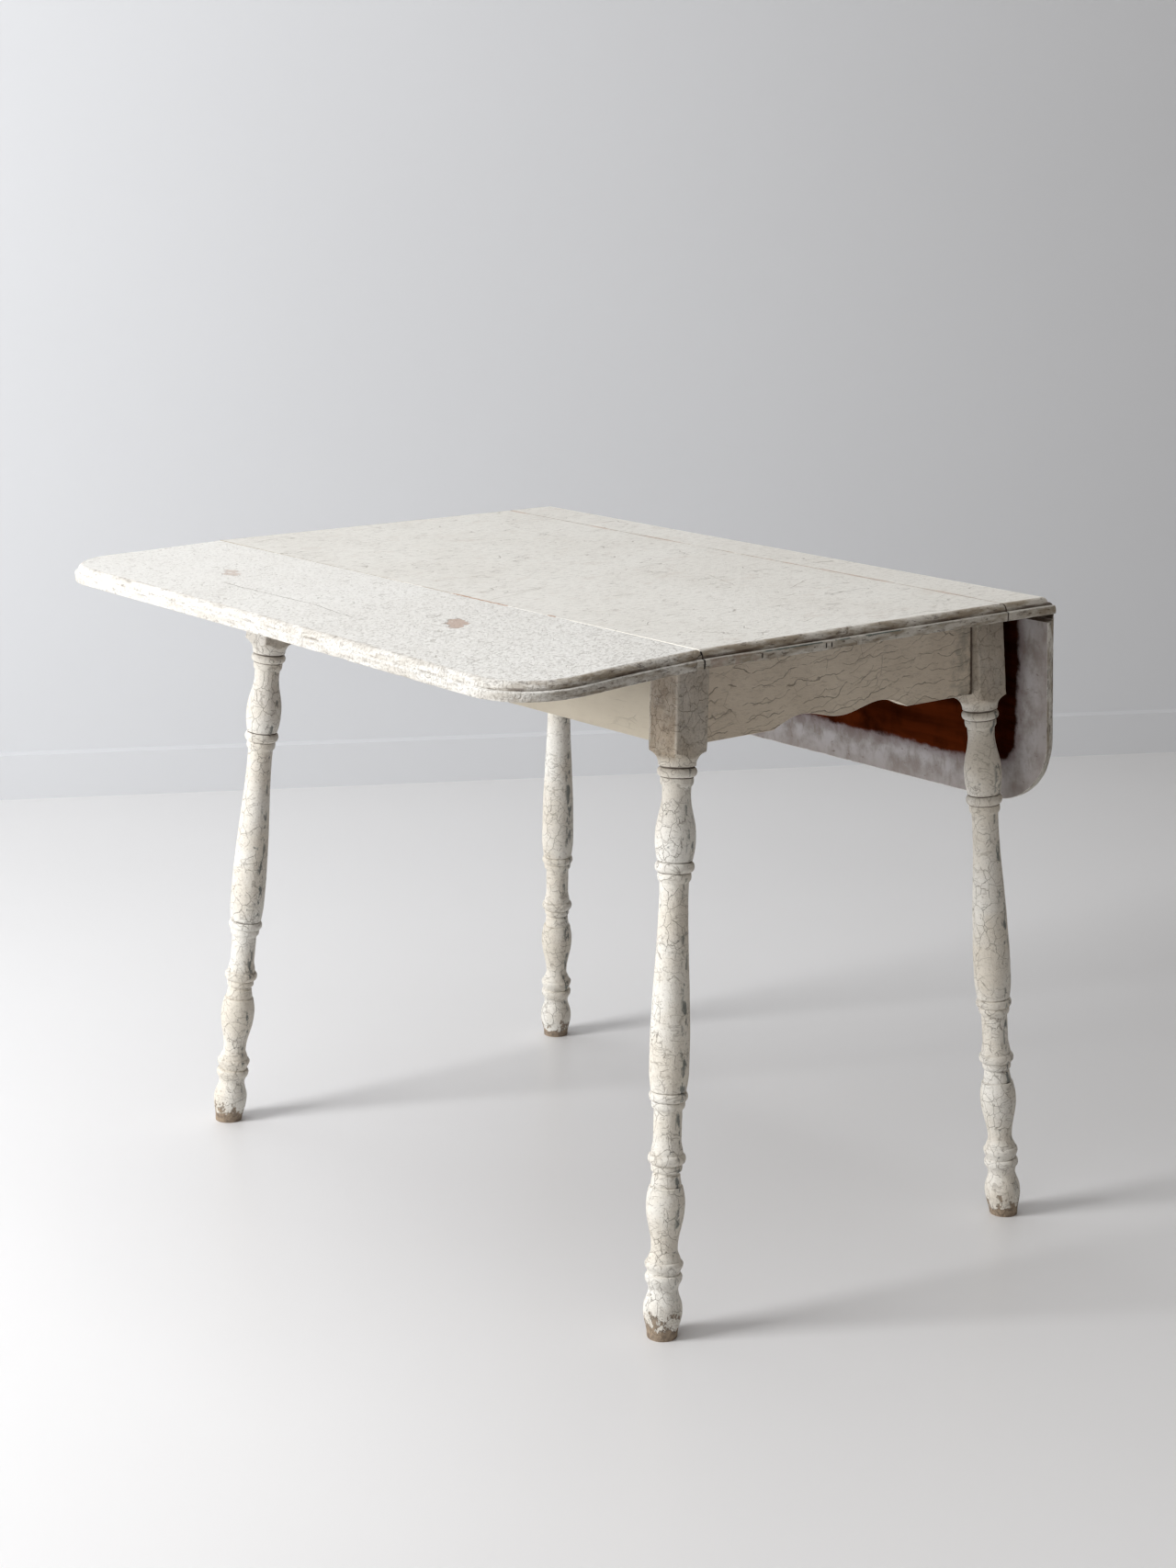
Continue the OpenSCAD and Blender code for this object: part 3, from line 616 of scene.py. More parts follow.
def leaf(name, side, drop, warp, aged, seed, materials):
    """warp is how far the outer edge is bent down at the near end and up at the far end. aged is how
    weathered the moulding is at the near end, along the side and at the far end."""
    joint = (-0.01, 2, 4, 6.2, 8.4, 9.4, 10.2, 10.8, 11.3, 11.7, 12, 15.3, 15.6, 15.85)
    levels = with_heights([PIVOT_UP + w for w in joint])
    near = np.array([[(u, y, z) for u, y in leaf_rows(z, inset)] for z, inset, _, _ in levels])
    verts, faces, part, level = loft(near, near * [1, -1, 1], stations())
    u, y, z = verts.T
    z = np.maximum(z, np.where(in_hinge(y) & (u < FLAP_U), FLAP_DEEP, 0))
    loc = np.stack([u, y, z], 1)
    # distance in from the outline
    past_u, past_y = u - (LEAF_W - LEAF_R), np.abs(y) - (HALF_L - LEAF_R)
    corner = (past_u > 0) & (past_y > 0)
    rim = np.where(corner, LEAF_R - np.hypot(past_u, past_y), np.minimum(LEAF_W - u, HALF_L - np.abs(y)))
    at_edge = rim < EDGE_TO
    flat = (level == 0) | (level == len(levels) - 1)
    inside = flat & (rim > FLAT_FROM)
    wear, grime_and_shade = np.array(levels).T[2:, level]
    wear = np.where(inside, 0.1 * smooth(rim, 40, 12), wear)
    grime_and_shade = np.where(inside, 0, grime_and_shade)
    grime_and_shade = np.where((u < HOLLOW_R + 0.3) & ~at_edge & (z < BOARD - 1), 0.4, grime_and_shade)
    wave = 0.3 * bumps(loc, (110, 240, 40), seed) + 0.15 * bumps(loc, (35, 60, 40), seed + 1)
    nick, lift = nicked(loc, wear, inside, level, wave, seed + 2)
    bend = np.interp(y, (-HALF_L, 0, HALF_L), (-warp[0], 0, warp[1]))
    w = z - PIVOT_UP + lift + (np.clip(u, 0, None) / LEAF_W) ** 2 * bend
    # the way the edge faces
    out_u = np.where(corner, past_u, np.where(LEAF_W - u < HALF_L - np.abs(y), 1.0, 0.0))
    out_y = np.where(corner, np.sign(y) * past_y, np.where(out_u > 0, 0.0, np.sign(y)))
    length = np.maximum(np.hypot(out_u, out_y), 1e-6)
    out_u, out_y = out_u / length, out_y / length
    at_near, at_side, at_far = aged
    weather = at_side + (np.where(out_y < 0, at_near, at_far) - at_side) * out_y**2
    weather = np.where(inside, 0, weather) * np.where(flat, 0.3, 1.0)
    grime_and_shade = np.where(at_edge, grime_and_shade * (0.4 + 0.6 * weather), grime_and_shade)
    weather, grime_and_shade = rub_and_highlight(z, weather, grime_and_shade)
    # paint bridges the seam of the raised leaf at the near end
    bridged = (side == LEFT) & (u < 1.3) & (z > BOARD - 2) & (y > -HALF_L + 5)
    u = np.where(bridged, u - 0.33 * smooth(y, -205, -225), u)
    # nicks are pulled in from the outline
    pull = np.where(~inside & at_edge, nick, 0)
    u, y = u - pull * out_u, y - pull * out_y
    a = math.radians(drop)
    x = side * (SEAM + u * math.cos(a) + w * math.sin(a))
    placed = np.stack([x, y, HINGE_Z - u * math.sin(a) + w * math.cos(a)], 1)
    if side == LEFT:
        faces = faces[:, ::-1]
    piece(name, placed, faces.tolist(), name, materials, name + "_board", part == PART_UNDER,
          {"loc": loc, "wear": wear, "grime_and_shade": grime_and_shade, "weather": weather, "rim": rim * MM})


# ---- legs ----
def ease(z0, r0, z1, r1):
    """A curve that leaves and arrives straight up."""
    t = np.linspace(0, 1, max(4, int((z1 - z0) / 1.4)))
    return [(r0 + (r1 - r0) * (1 - math.cos(math.pi * k)) / 2, z0 + (z1 - z0) * k) for k in t]


def swell(z0, r0, z1, r1):
    """A bulge that leaves a groove steeply and levels off at its widest."""
    return [(r0 + (r1 - r0) * math.sin(math.pi / 2 * k), z0 + (z1 - z0) * k) for k in np.linspace(0, 1, 10)]


def swell_down(z0, r0, z1, r1):
    """The same, met from above."""
    return [(r1 + (r0 - r1) * math.cos(math.pi / 2 * k), z0 + (z1 - z0) * k) for k in np.linspace(0, 1, 10)]


def bead(z, r, half, inner):
    """A bulge centred at z, half of its height above and below, standing out from inner to r."""
    return [(inner + (r - inner) * math.cos(math.radians(a)), z + half * math.sin(math.radians(a)))
            for a in range(-90, 91, 15)]


def cove():
    """The hollow from the neck out to the block."""
    turns = [math.radians(a) for a in range(0, 91, 6)]
    return [(NECK_R + COVE_OUT * (1 - math.cos(a)), SHOULDER_Z + SHOULDER_R * math.sin(a)) for a in turns]


def turning():
    """The outline of a leg, as radius and height, the same as in the CAD model."""
    return (
        [(16.4, 0.0), (16.8, 0.5)] + ease(1.2, 16.9, 29, 21.3) + ease(33, 21.3, 55, 16.3)
        + ease(57, 17, 66, 20.6) + [(20.6, 68.5), (19.6, 70.8), (17.4, 71.6), (17.4, 72.4)]
        + ease(73.2, 18, 81.5, 20.9) + [(20.9, 83.5), (19.8, 85.3)] + ease(86.2, 18, 98, 14.5)
        + ease(99, 14.4, 147, 21.3) + swell_down(150, 21.3, 168.8, 18.6) + [(16.4, 169.4), (16.4, 170.2)]
        + ease(171, 16.7, 181.6, 15.4) + [(14, 183), (14, 185)]
        + bead(189.8, 17.2, 3.4, 16.4) + bead(199.9, 20.8, 5.4, 17.4)
        + ease(207, 17.4, 220.7, 15.3) + ease(253.8, 15.5, 256.6, 17.8)
        + bead(260.4, 18.5, 3.2, 17.8) + bead(269, 21.3, 5, 18) + [(18.6, 274.8)]
        + swell(275.4, 19.5, 300, 21.7) + ease(320, 21.7, 497.4, 15.5) + ease(502, 15.6, 504.8, 17.4)
        + bead(508.8, 18.1, 3.8, 17.4) + bead(519.2, 21.2, 5.5, 17.6) + [(17.8, 525.4)]
        + swell(526.2, 19, 547, 21.9) + ease(553, 21.9, 597, 15.4) + ease(605, 15.7, 608, 17.6)
        + bead(611.9, 18.2, 3.4, 17.6) + bead(621.1, 21.5, 5, 17.6)
        + [(18.7, SHOULDER_Z - 1.4), (18.7, SHOULDER_Z - 0.5)] + cove()
    )


def block_outline(half, corner):
    """The points of a square with rounded corners."""
    flat = [(half, v) for v in np.linspace(-(half - corner), half - corner, 17)[:-1]]
    turns = [math.radians(a) for a in range(0, 90, 15)]
    arc = [(half - corner + corner * math.cos(a), half - corner + corner * math.sin(a)) for a in turns]
    quarter = np.array(flat + arc)
    # a quarter turn takes (x, y) to (-y, x)
    points = [quarter]
    for _ in range(3):
        points.append(points[-1][:, ::-1] * [-1, 1])
    return np.concatenate(points)


def lean(sx, sy):
    """The leg's own directions, as a matrix, and its point on the floor."""
    tilt_y = -sx * math.atan(SPLAY_X)
    tilt_x = sy * math.atan(SPLAY_Y * math.cos(tilt_y))
    turn = Matrix.Rotation(tilt_x, 3, "X") @ Matrix.Rotation(tilt_y, 3, "Y")
    return np.array(turn), np.array([sx * FLOOR_X, sy * FLOOR_Y, 0.0])


def leg(name, sx, sy, dark_side, seed, materials):
    """dark_side is how far the patina has darkened the block's outer side."""
    outline = block_outline(BLOCK / 2, 2.0)
    square = np.hypot(*outline.T)
    direction = outline / square[:, None]
    profile = np.array(turning())
    # more rings where the profile is long and straight
    rows = [profile[0]]
    for point in profile[1:]:
        start = rows[-1]
        parts = max(1, int((point[1] - start[1]) / 2.6))
        rows += [start + (point - start) * k / parts for k in range(1, parts + 1)]
    # the block, wider than itself in the profile and cut to its outline below, and longer than it ends up
    rows += [np.array([60.0, h]) for h in np.linspace(SHOULDER_Z + 16, UNDER_Z + 17, 40)]
    rows = np.array(rows)
    radius, height = rows.T
    cut = np.minimum(radius[:, None], square[None, :])
    rho = np.where(height[:, None] < SHOULDER_Z - 0.1, radius[:, None], cut)
    n = len(square)
    local = np.stack([rho * direction[:, 0], rho * direction[:, 1], np.repeat(height[:, None], n, 1)], 2)
    # hollows and ridges along the profile, for grime and wear
    turned = np.minimum(radius, 30)

    def mean_within(reach):
        near_by = np.exp(-((height[:, None] - height) / reach) ** 2) * np.gradient(height)
        return (near_by @ turned) / near_by.sum(1)

    groove = np.clip((mean_within(2.2) - turned) / 0.7, 0, 1)
    hollow = np.clip((mean_within(5.0) - turned) / 2.2, 0, 1)
    ridge = np.clip((turned - mean_within(5.0)) / 1.3, 0, 1)
    for part in (groove, hollow, ridge):
        part[height > SHOULDER_Z + 6] = 0
    in_block = height > SHOULDER_Z + 2
    corner = smooth(square, BLOCK / 2 + 6.9, BLOCK / 2 + 8.2)
    wear = np.repeat(0.3 * ridge, n)
    grime_and_shade = np.repeat(np.maximum((0.42 + 0.2 * smooth(height, 350, 600)) * groove, 0.34 * hollow), n)
    arris = np.where(in_block[:, None], corner, 0).ravel()
    patina = smooth(height, SHOULDER_Z + 1, SHOULDER_Z + 14)[:, None] * (
        0.45 + (0.85 * dark_side - 0.45) * smooth(sx * direction[:, 0], 0.7, 0.78)[None, :])
    # the near right leg is a little yellower than the others all over
    patina = np.maximum(patina, 0.1 if sx > 0 > sy else 0.03)
    turn, foot = lean(sx, sy)
    flat = local.reshape(-1, 3)
    outward = np.concatenate([np.tile(direction, (len(rows), 1)), np.zeros((len(flat), 1))], 1)
    rough = 0.22 * bumps(flat, (14, 14, 30), seed) + 0.1 * bumps(flat, (4, 4, 6), seed + 1)
    edge = np.clip(wear * 1.5 + 0.7 * arris, 0, 1)
    chip = np.maximum(bumps(flat, (7, 7, 6), seed + 2) - 0.35, 0) * 1.5 * edge
    flat = flat + outward * (rough - chip)[:, None]
    placed = flat @ turn.T + foot
    # flat on the floor, and flat under the top
    axis = turn[:, 2]
    for limit, rows_at in ((0.0, range(0, 4)), (UNDER_Z, range(len(rows) - 60, len(rows)))):
        for i in rows_at:
            at = slice(i * n, (i + 1) * n)
            z = placed[at, 2]
            over = (z < limit) if limit == 0.0 else (z > limit)
            if i == 0:
                over = np.ones(n, bool)
            shift = np.where(over, (limit - z) / axis[2], 0)
            placed[at] += shift[:, None] * axis
    # each leg lies elsewhere in the paint's noise
    loc = local.reshape(-1, 3) + np.array([seed * 37.0, seed * 11.0, 0])
    # the side that feet knock
    struck = direction @ np.array([0.12, -1.0])
    kick = np.tile(smooth(struck, 0.955, 1.0), len(rows)) * smooth(np.repeat(height, n), 20, 60)
    kick = kick * (np.repeat(height, n) < SHOULDER_Z)
    faces = skin(len(rows), n)
    piece(name, placed, faces, "frame", materials, name, np.zeros(len(faces)),
          {"loc": loc, "wear": wear, "grime_and_shade": grime_and_shade, "kick": kick, "patina": patina.ravel(),
           "arris": dark_side * arris}, 33)


# ---- aprons ----
def arch(x):
    """Height of the lower edge of an end apron above its straight part."""
    peak, point = 0.59 * ARCH_END, 0.24 * ARCH_H
    x = np.abs(x)
    inner = point + (ARCH_H - point) * (1 - np.cos(np.pi * x / peak)) / 2
    outer = ARCH_H * np.cos(np.pi / 2 * (x - peak) / (ARCH_END - peak))
    return np.where(x < peak, inner, np.where(x < ARCH_END, outer, 0.0))


def block_face(sx, sy, across, along, z, clearance):
    """Where a leg's inner face cuts a line along an apron. across is 0 for an end apron, along X, and 1 for a
    side apron, along Y. along is the line's place on the other axis."""
    turn, foot = lean(sx, sy)
    normal = -turn[:, across] * (sx if across == 0 else sy)
    other = 1 - across
    rest = normal[other] * (along - foot[other]) + normal[2] * z
    return foot[across] + (BLOCK / 2 + clearance - rest) / normal[across]


def apron(name, across, side, gaps, seed, materials):
    """A board between two legs. across is 0 for an end apron and 1 for a side apron. gaps are the widths of
    the joints at its two ends."""
    end_apron = across == 0
    face = side * (END_FACE if end_apron else SIDE_FACE)
    back = face - side * APRON_T
    corner = 1.3
    top = UNDER_Z - 0.3
    share = np.linspace(0, 1, 25)
    # (share of the thickness from the face, height above the lower edge, share of the height)
    section = [(0.0, corner * (1 - f), f) for f in share[::-1]]
    arc = [math.radians(a) for a in (30, 60, 90)]
    arc = [(corner / APRON_T * (1 - math.cos(a)), corner * (1 - math.sin(a))) for a in arc]
    section += [(t, up, 0.0) for t, up in arc]
    section += [(f, 0.0, 0.0) for f in (0.3, 0.5, 0.7)]
    back_from = len(section) - 1
    section += [(1 - t, up, 0.0) for t, up in arc[::-1]]
    section += [(1.0, corner * (1 - f), f) for f in share]
    reach = END_REACH if end_apron else SIDE_REACH
    even = np.linspace(-1, 1, int(reach / 1.6))
    columns = np.unique([*even, -0.999, -0.996, 0.996, 0.999])
    verts, info = [], []
    sides = ((-1, side), (1, side)) if end_apron else ((side, -1), (side, 1))
    for c in columns:
        for t, up, f in section:
            other = face + (back - face) * t
            low = APRON_Z + (float(arch(c * reach)) if end_apron else 0.0)
            z = low + up + (top - low) * f if f < 1 else top
            ends = [block_face(sx, sy, across, other, z, g) for (sx, sy), g in zip(sides, gaps)]
            place = ends[0] + (ends[1] - ends[0]) * (c + 1) / 2
            verts.append((place, other, z) if end_apron else (other, place, z))
            info.append((c, t, z - low))
    verts, info = np.array(verts), np.array(info)
    m = len(section)
    faces = skin(len(columns), m)
    which = [int(back_from <= j < m - 1) for _ in columns[1:] for j in range(m)] + [0, 0]
    if end_apron == (side > 0):
        faces = [f[::-1] for f in faces]
    # along the board, out from the middle of the table, and up
    loc = np.stack([verts[:, across], np.abs(verts[:, 1 - across]), verts[:, 2] - APRON_Z], 1)
    c, t, up = info.T
    to_end = (1 - np.abs(c)) * reach
    wear = np.where(t < 0.5, 0.5 * np.exp(-(up / 2.0) ** 2), 0.3)
    right_end = end_apron & (c > 0)
    open_end = np.where(right_end, 2.2, 1.1)
    # painted shadow under the top, painted shade in the joints at the ends, and darker along the lower edge
    grime_and_shade = 0.9 * np.exp(-((UNDER_Z - verts[:, 2]) / 3.0)) + open_end * np.exp(-to_end / 2.2)
    grime_and_shade += 0.3 * np.exp(-up / 2.0)
    patch = np.where(right_end, smooth(to_end, 95, 10), 0)
    rough = 0.25 * bumps(loc, (60, 40, 25), seed) + 0.1 * bumps(loc, (14, 14, 9), seed + 1)
    verts[:, 1 - across] += side * np.where(t == 0.0, rough - 0.3, 0)
    # the tenons, seen only through the open joints
    box = [(0, 1, 3, 2), (4, 6, 7, 5), (0, 4, 5, 1), (2, 3, 7, 6), (0, 2, 6, 4), (1, 5, 7, 3)]
    tenons = []
    for s in (-1, 1):
        first = len(verts) + len(tenons)
        faces += [tuple(first + q for q in quad) for quad in box]
        for along in (s * 0.93 * reach, s * 1.045 * reach):
            for thick in (-4.5, 4.5):
                for z in (APRON_Z + 14, APRON_Z + 84):
                    place = (face + back) / 2 + thick
                    tenons.append((along, place, z) if end_apron else (place, along, z))
    verts = np.concatenate([verts, tenons])
    which += [1] * (len(faces) - len(which))
    more = (0, len(tenons))
    attributes = {"loc": np.pad(loc, (more, (0, 0))), "wear": np.pad(wear, more),
                  "grime_and_shade": np.pad(grime_and_shade, more, constant_values=1), "patch": np.pad(patch, more)}
    piece(name, verts, faces, "frame", materials, name, which, attributes, 40)


# ---- finishes ----
def on_top(s, z):
    """1 on the upper face, 0 down its edges."""
    return s.ramp(z, 0.0185, 0.0187)


def at_near_edge(s, y):
    """1 down the moulded near edge, 0 on the upper face."""
    return s.below(y, -0.4395, -0.4375)


def seam_paint(s, loc, base, from_seam):
    """The paint beside the seam: an ivory ridge at the near end, worn to wood in two places further on, and
    painted shade in the seam down the near edge.
    """
    x, y, z = s.parts(loc)
    ragged = s.add(y, s.ripple(loc, 90.0, 0.03))
    broken = s.mul(s.below(ragged, -0.235, -0.228), s.patches(loc, 60.0, 0.36, 0.44, 0.25))
    ivory = s.mul(s.below(from_seam, 0.0006, 0.0014), broken)
    worn = s.most(s.band(ragged, -0.125, -0.035, 0.004), s.band(ragged, -0.213, -0.198, 0.003))
    broad = s.below(s.add(from_seam, s.ripple(loc, 120.0, 0.004)), 0.0012, 0.002)
    base = s.tint(base, s.mul(worn, broad), TAN)
    base = s.tint(base, s.mul(ivory, 0.8), "f6f2e6")
    faint = s.mul(s.below(from_seam, 0.0006, 0.0015), s.ramp(y, -0.04, -0.02))
    base = s.tint(base, s.mul(faint, s.patches(loc, 35.0, 0.35, 0.5, 0.2, 0.7)), "948672")
    # painted shade: a near-black line down the near edge where the seam opens
    gap = s.below(s.add(from_seam, s.ripple(loc, 200.0, 0.0012)), 0.0009, 0.0014)
    return s.tint(base, s.mul(s.mul(at_near_edge(s, y), s.below(z, 0.0172, 0.0182)), gap), "1d1510")


def leaf_marks(s, loc, base, height):
    """Chips and a long dent in the leaf, and the paint beside the seam."""
    x, y, z = s.parts(loc)
    near_chips = [((0.098, -0.166), (0.0135, 0.0135), 0.4), ((0.089, -0.154), (0.009, 0.009), 0.5),
                  ((0.1085, -0.178), (0.009, 0.009), 0.5)]
    far_chips = [((0.108, 0.25), (0.008, 0.012), 0.6), ((0.117, 0.236), (0.009, 0.012), 0.6)]
    near_chips = s.most(*[s.spot(loc, *chip) for chip in near_chips])
    far_chips = s.most(*[s.spot(loc, *chip) for chip in far_chips])
    chips = s.mul(s.most(near_chips, s.mul(far_chips, 0.6)), on_top(s, z))
    base = s.tint(base, s.mul(chips, 0.9), "c0aa9b")
    dent = s.mul(s.scratch(loc, (0.156, 0.21), (0.15, 0.02), 0.0013, 0.006), 0.8)
    dent = s.mul(s.most(dent, s.scratch(loc, (0.15, 0.03), (0.161, -0.07), 0.0009, 0.004)), on_top(s, z))
    base = s.tint(base, s.mul(dent, 0.7), "7f776d")
    base = seam_paint(s, loc, base, s.away(x))
    return base, s.sub(height, s.add(s.mul(chips, 2.0), dent))


def top_marks(s, loc, base, height):
    """Scratches, the two seams' paint, the glue line, and wear and nail heads on the near edge."""
    x, y, z = s.parts(loc)
    up_top = on_top(s, z)
    scratches = [((-0.25, 0.043), (-0.16, 0.043), 0.0007), ((-0.203, 0.202), (-0.17, 0.205), 0.0007),
                 ((-0.265, -0.091), (-0.154, -0.062), 0.0007), ((-0.213, -0.073), (-0.143, -0.054), 0.0006),
                 ((0.033, -0.177), (0.06, -0.101), 0.0008), ((0.073, -0.227), (0.136, -0.194), 0.0007)]
    marks = s.mul(s.most(*[s.scratch(loc, *mark) for mark in scratches]), up_top)
    base = s.tint(base, s.mul(marks, 0.6), "8d8375")
    base = seam_paint(s, loc, base, s.away(x, -SEAM * MM))
    from_glue = s.away(s.add(x, s.ripple(loc, 30.0, 0.0008, 2.0)), STRIP_X * MM)
    glue = s.mul(s.below(from_glue, 0.0007, 0.0016), s.patches(loc, 24.0, 0.3, 0.45, 0.35))
    base = s.tint(base, s.mul(s.mul(glue, up_top), 0.75), "a08d7b")
    end_line = s.mul(s.mul(s.below(from_glue, 0.0007, 0.0014), at_near_edge(s, y)), s.sub(1.0, up_top))
    base = s.tint(base, s.mul(end_line, 0.85), "2a1d14")
    rosy = s.mul(s.below(from_glue, 0.0022, 0.0045), s.patches(loc, 11.0, 0.47, 0.56))
    base = s.tint(base, s.mul(s.mul(rosy, up_top), 0.4), "c09a82")
    stains = s.patches(s.stretched(loc, 0.5, 1.0, 1.0), 38.0, 0.57, 0.68, 0.0, 0.13, 5.0, 0.65)
    base = s.tint(base, s.mul(stains, up_top), "a98f78")
    # near edge: three nail heads, a thin line of the under coat and a rubbed patch on the lower layer
    at_end = s.below(y, -0.449, -0.4485)
    face = s.node("ShaderNodeCombineXYZ", {"X": x, "Y": z}).outputs[0]
    nails = [s.spot(face, (at, 0.0052), (0.0012, 0.0034), 0.0) for at in (-0.0935, -0.0852, -0.188)]
    rubbed = s.mul(s.band(x, -0.262, -0.2, 0.01), s.patches(loc, 70.0, 0.42, 0.55, 0.0, 1.0, 4.0))
    base = s.tint(base, s.mul(s.mul(rubbed, at_end), 0.6), "a58f80")
    green = s.mul(s.band(x, -0.18, 0.03, 0.01), s.patches(loc, 40.0, 0.4, 0.5))
    green = s.mul(green, s.sub(1.0, s.band(x, -0.0985, -0.08, 0.001)))
    green = s.mul(green, s.band(z, 0.0086, 0.0097, 0.0004))
    base = s.tint(base, s.mul(s.mul(green, at_end), 0.8), "4f625d")
    return s.tint(base, s.mul(s.most(*nails), at_end), "241a12"), s.sub(height, marks)


def leg_marks(s, loc, base, height):
    """Darkened block, knocks down the near side and bare wood at the foot."""
    z = s.parts(loc)[2]
    patina = s.value("patina")
    dark = s.mix(s.patches(loc, 60.0, 0.35, 0.68, 0.0, 1.0, 5.0, 0.65), colour("a8947a"), colour("7c684b"))
    base = s.mix(s.mul(patina, s.patches(loc, 25.0, 0.2, 0.6, 0.75, 1.0, 4.0)), base, dark)
    base = s.tint(base, s.mul(s.value("arris"), s.patches(loc, 80.0, 0.4, 0.5, 0.1, 0.5, 4.0)), "d8d0c0")
    grit = s.mul(patina, s.patches(loc, 260.0, 0.5, 0.68, 0.0, 0.5, 4.0, 0.7))
    base = s.tint(base, grit, "4e4233")
    knock = s.patches(s.stretched(loc, 1.0, 1.0, 0.42), 105.0, 0.53, 0.6, 0.0, 1.0, 4.0, 0.65)
    knock = s.most(s.mul(s.value("kick"), knock), s.patches(loc, 150.0, 0.7, 0.74, 0.0, 0.7))
    base = s.tint(base, s.mul(knock, 0.8), "56605e")
    level = s.add(s.ramp(z, 0.002, 0.014, 0.36, 0.0), s.ramp(z, 0.012, 0.052, 0.24, 0.0))
    tongue = s.noise(s.stretched(loc, 1.0, 1.0, 0.6), 95.0, 5.0, 0.7)
    bare = s.ramp(s.add(level, tongue), 0.735, 0.765)
    wood = s.mix(s.patches(loc, 200.0, 0.35, 0.7, 0.0, 1.0, 4.0), colour("98836a"), colour("64503c"))
    wood = s.tint(wood, s.ramp(z, 0.008, 0.03, 0.0, 0.6), "8f8272")
    return s.mix(s.mul(bare, 0.9), base, wood), s.sub(height, s.mul(s.add(knock, bare), 0.8))


def apron_marks(s, loc, base, height):
    """A greyish patch towards the right end."""
    patch = s.ramp(s.add(s.value("patch"), s.ripple(loc, 45.0, 2.2, 5.0, 0.7)), 0.6, 1.3)
    return s.tint(base, s.mul(patch, 0.55), "7f7d74"), height


def leaf_cracks(s, loc):
    """Fine pits over the whole leaf, denser at the near end, and some short strokes."""
    near = s.ramp(s.parts(loc)[1], -0.45, 0.3, 0.0, 0.045)
    pits = s.ramp(s.sub(s.noise(s.stretched(loc, 0.7, 1.0, 1.0), 330.0, 3.0, 0.7), near), 0.5, 0.61)
    bent = s.warp(loc, 70.0, 0.005)
    strokes = s.wandering(s.stretched(bent, 0.6, 1.0, 1.0), 60.0, 0.02)
    shown = s.ramp(s.sub(s.noise(loc, 55.0), near), 0.49, 0.57)
    return s.most(s.mul(pits, 0.58), s.mul(s.mul(strokes, shown), 0.8))


def top_cracks(s, loc):
    """Sparse thin cracks, most of them across the boards, and faint pits."""
    bent = s.warp(loc, 60.0, 0.006)
    edge = s.ramp(s.parts(loc)[1], -0.44, -0.3, 0.04, 0.0)
    long = s.wandering(s.stretched(bent, 0.25, 1.0, 1.0), 34.0, 0.011)
    long = s.mul(long, s.ramp(s.add(s.noise(loc, 22.0), edge), 0.5, 0.56))
    short = s.wandering(s.stretched(bent, 0.45, 1.0, 1.0), 80.0, 0.024)
    short = s.mul(short, s.ramp(s.add(s.noise(loc, 45.0), edge), 0.53, 0.6))
    pits = s.patches(s.stretched(loc, 0.3, 1.0, 1.0), 330.0, 0.52, 0.64, 0.0, 0.34, 3.0, 0.7)
    return s.most(s.mul(long, 0.85), s.mul(short, 0.55), pits)


def apron_cracks(s, loc):
    """Long wavy cracks along the board, joined here and there."""
    bent = s.warp(loc, 110.0, 0.005)
    x, y, z = s.parts(bent)
    rise = s.sub(z, s.mul(x, 0.13))
    drawn = s.stretched(bent, 0.8, 1.0, 1.0)
    found = []
    for pitch, wave, level, share in ((52.0, 3.2, 0.43, 1.0), (78.0, 4.4, 0.49, 0.75)):
        phase = s.add(s.mul(rise, pitch), s.mul(s.noise(drawn, 13.0 + pitch / 20), wave))
        line = s.below(s.away(s.math("FRACT", phase), 0.5), 0.01, 0.032)
        found.append(s.mul(line, s.patches(loc, 22.0 + pitch / 8, level, level + 0.05, 0.0, share)))
    cells = s.cracks(loc, (0.45, 1.0, 1.0), 52.0, 0.022, (0.52, 0.57), 22.0, 0.004)
    return s.most(*found, s.mul(cells, 0.45))


def leg_cracks(s, loc):
    """Thin uneven crazing, with rungs across the turning."""
    bent = s.warp(s.warp(loc, 40.0, 0.012), 150.0, 0.004)
    large = s.cracks(bent, (1.0, 1.0, 0.75), 70.0, 0.02, (0.45, 0.5), 28.0, 0.009)
    rungs = s.wandering(s.stretched(bent, 0.35, 0.35, 1.0), 120.0, 0.035)
    rungs = s.mul(rungs, s.patches(loc, 60.0, 0.48, 0.56, 0.0, 0.55))
    return s.most(large, rungs, s.patches(loc, 420.0, 0.58, 0.68, 0.0, 0.3, 2.0, 0.6))


def few_cracks(s, loc):
    """A few faint cracks in a nearly whole coat."""
    return s.mul(s.cracks(loc, (0.3, 1.0, 1.0), 60.0, 0.03, (0.6, 0.7), 14.0, 0.005), 0.5)


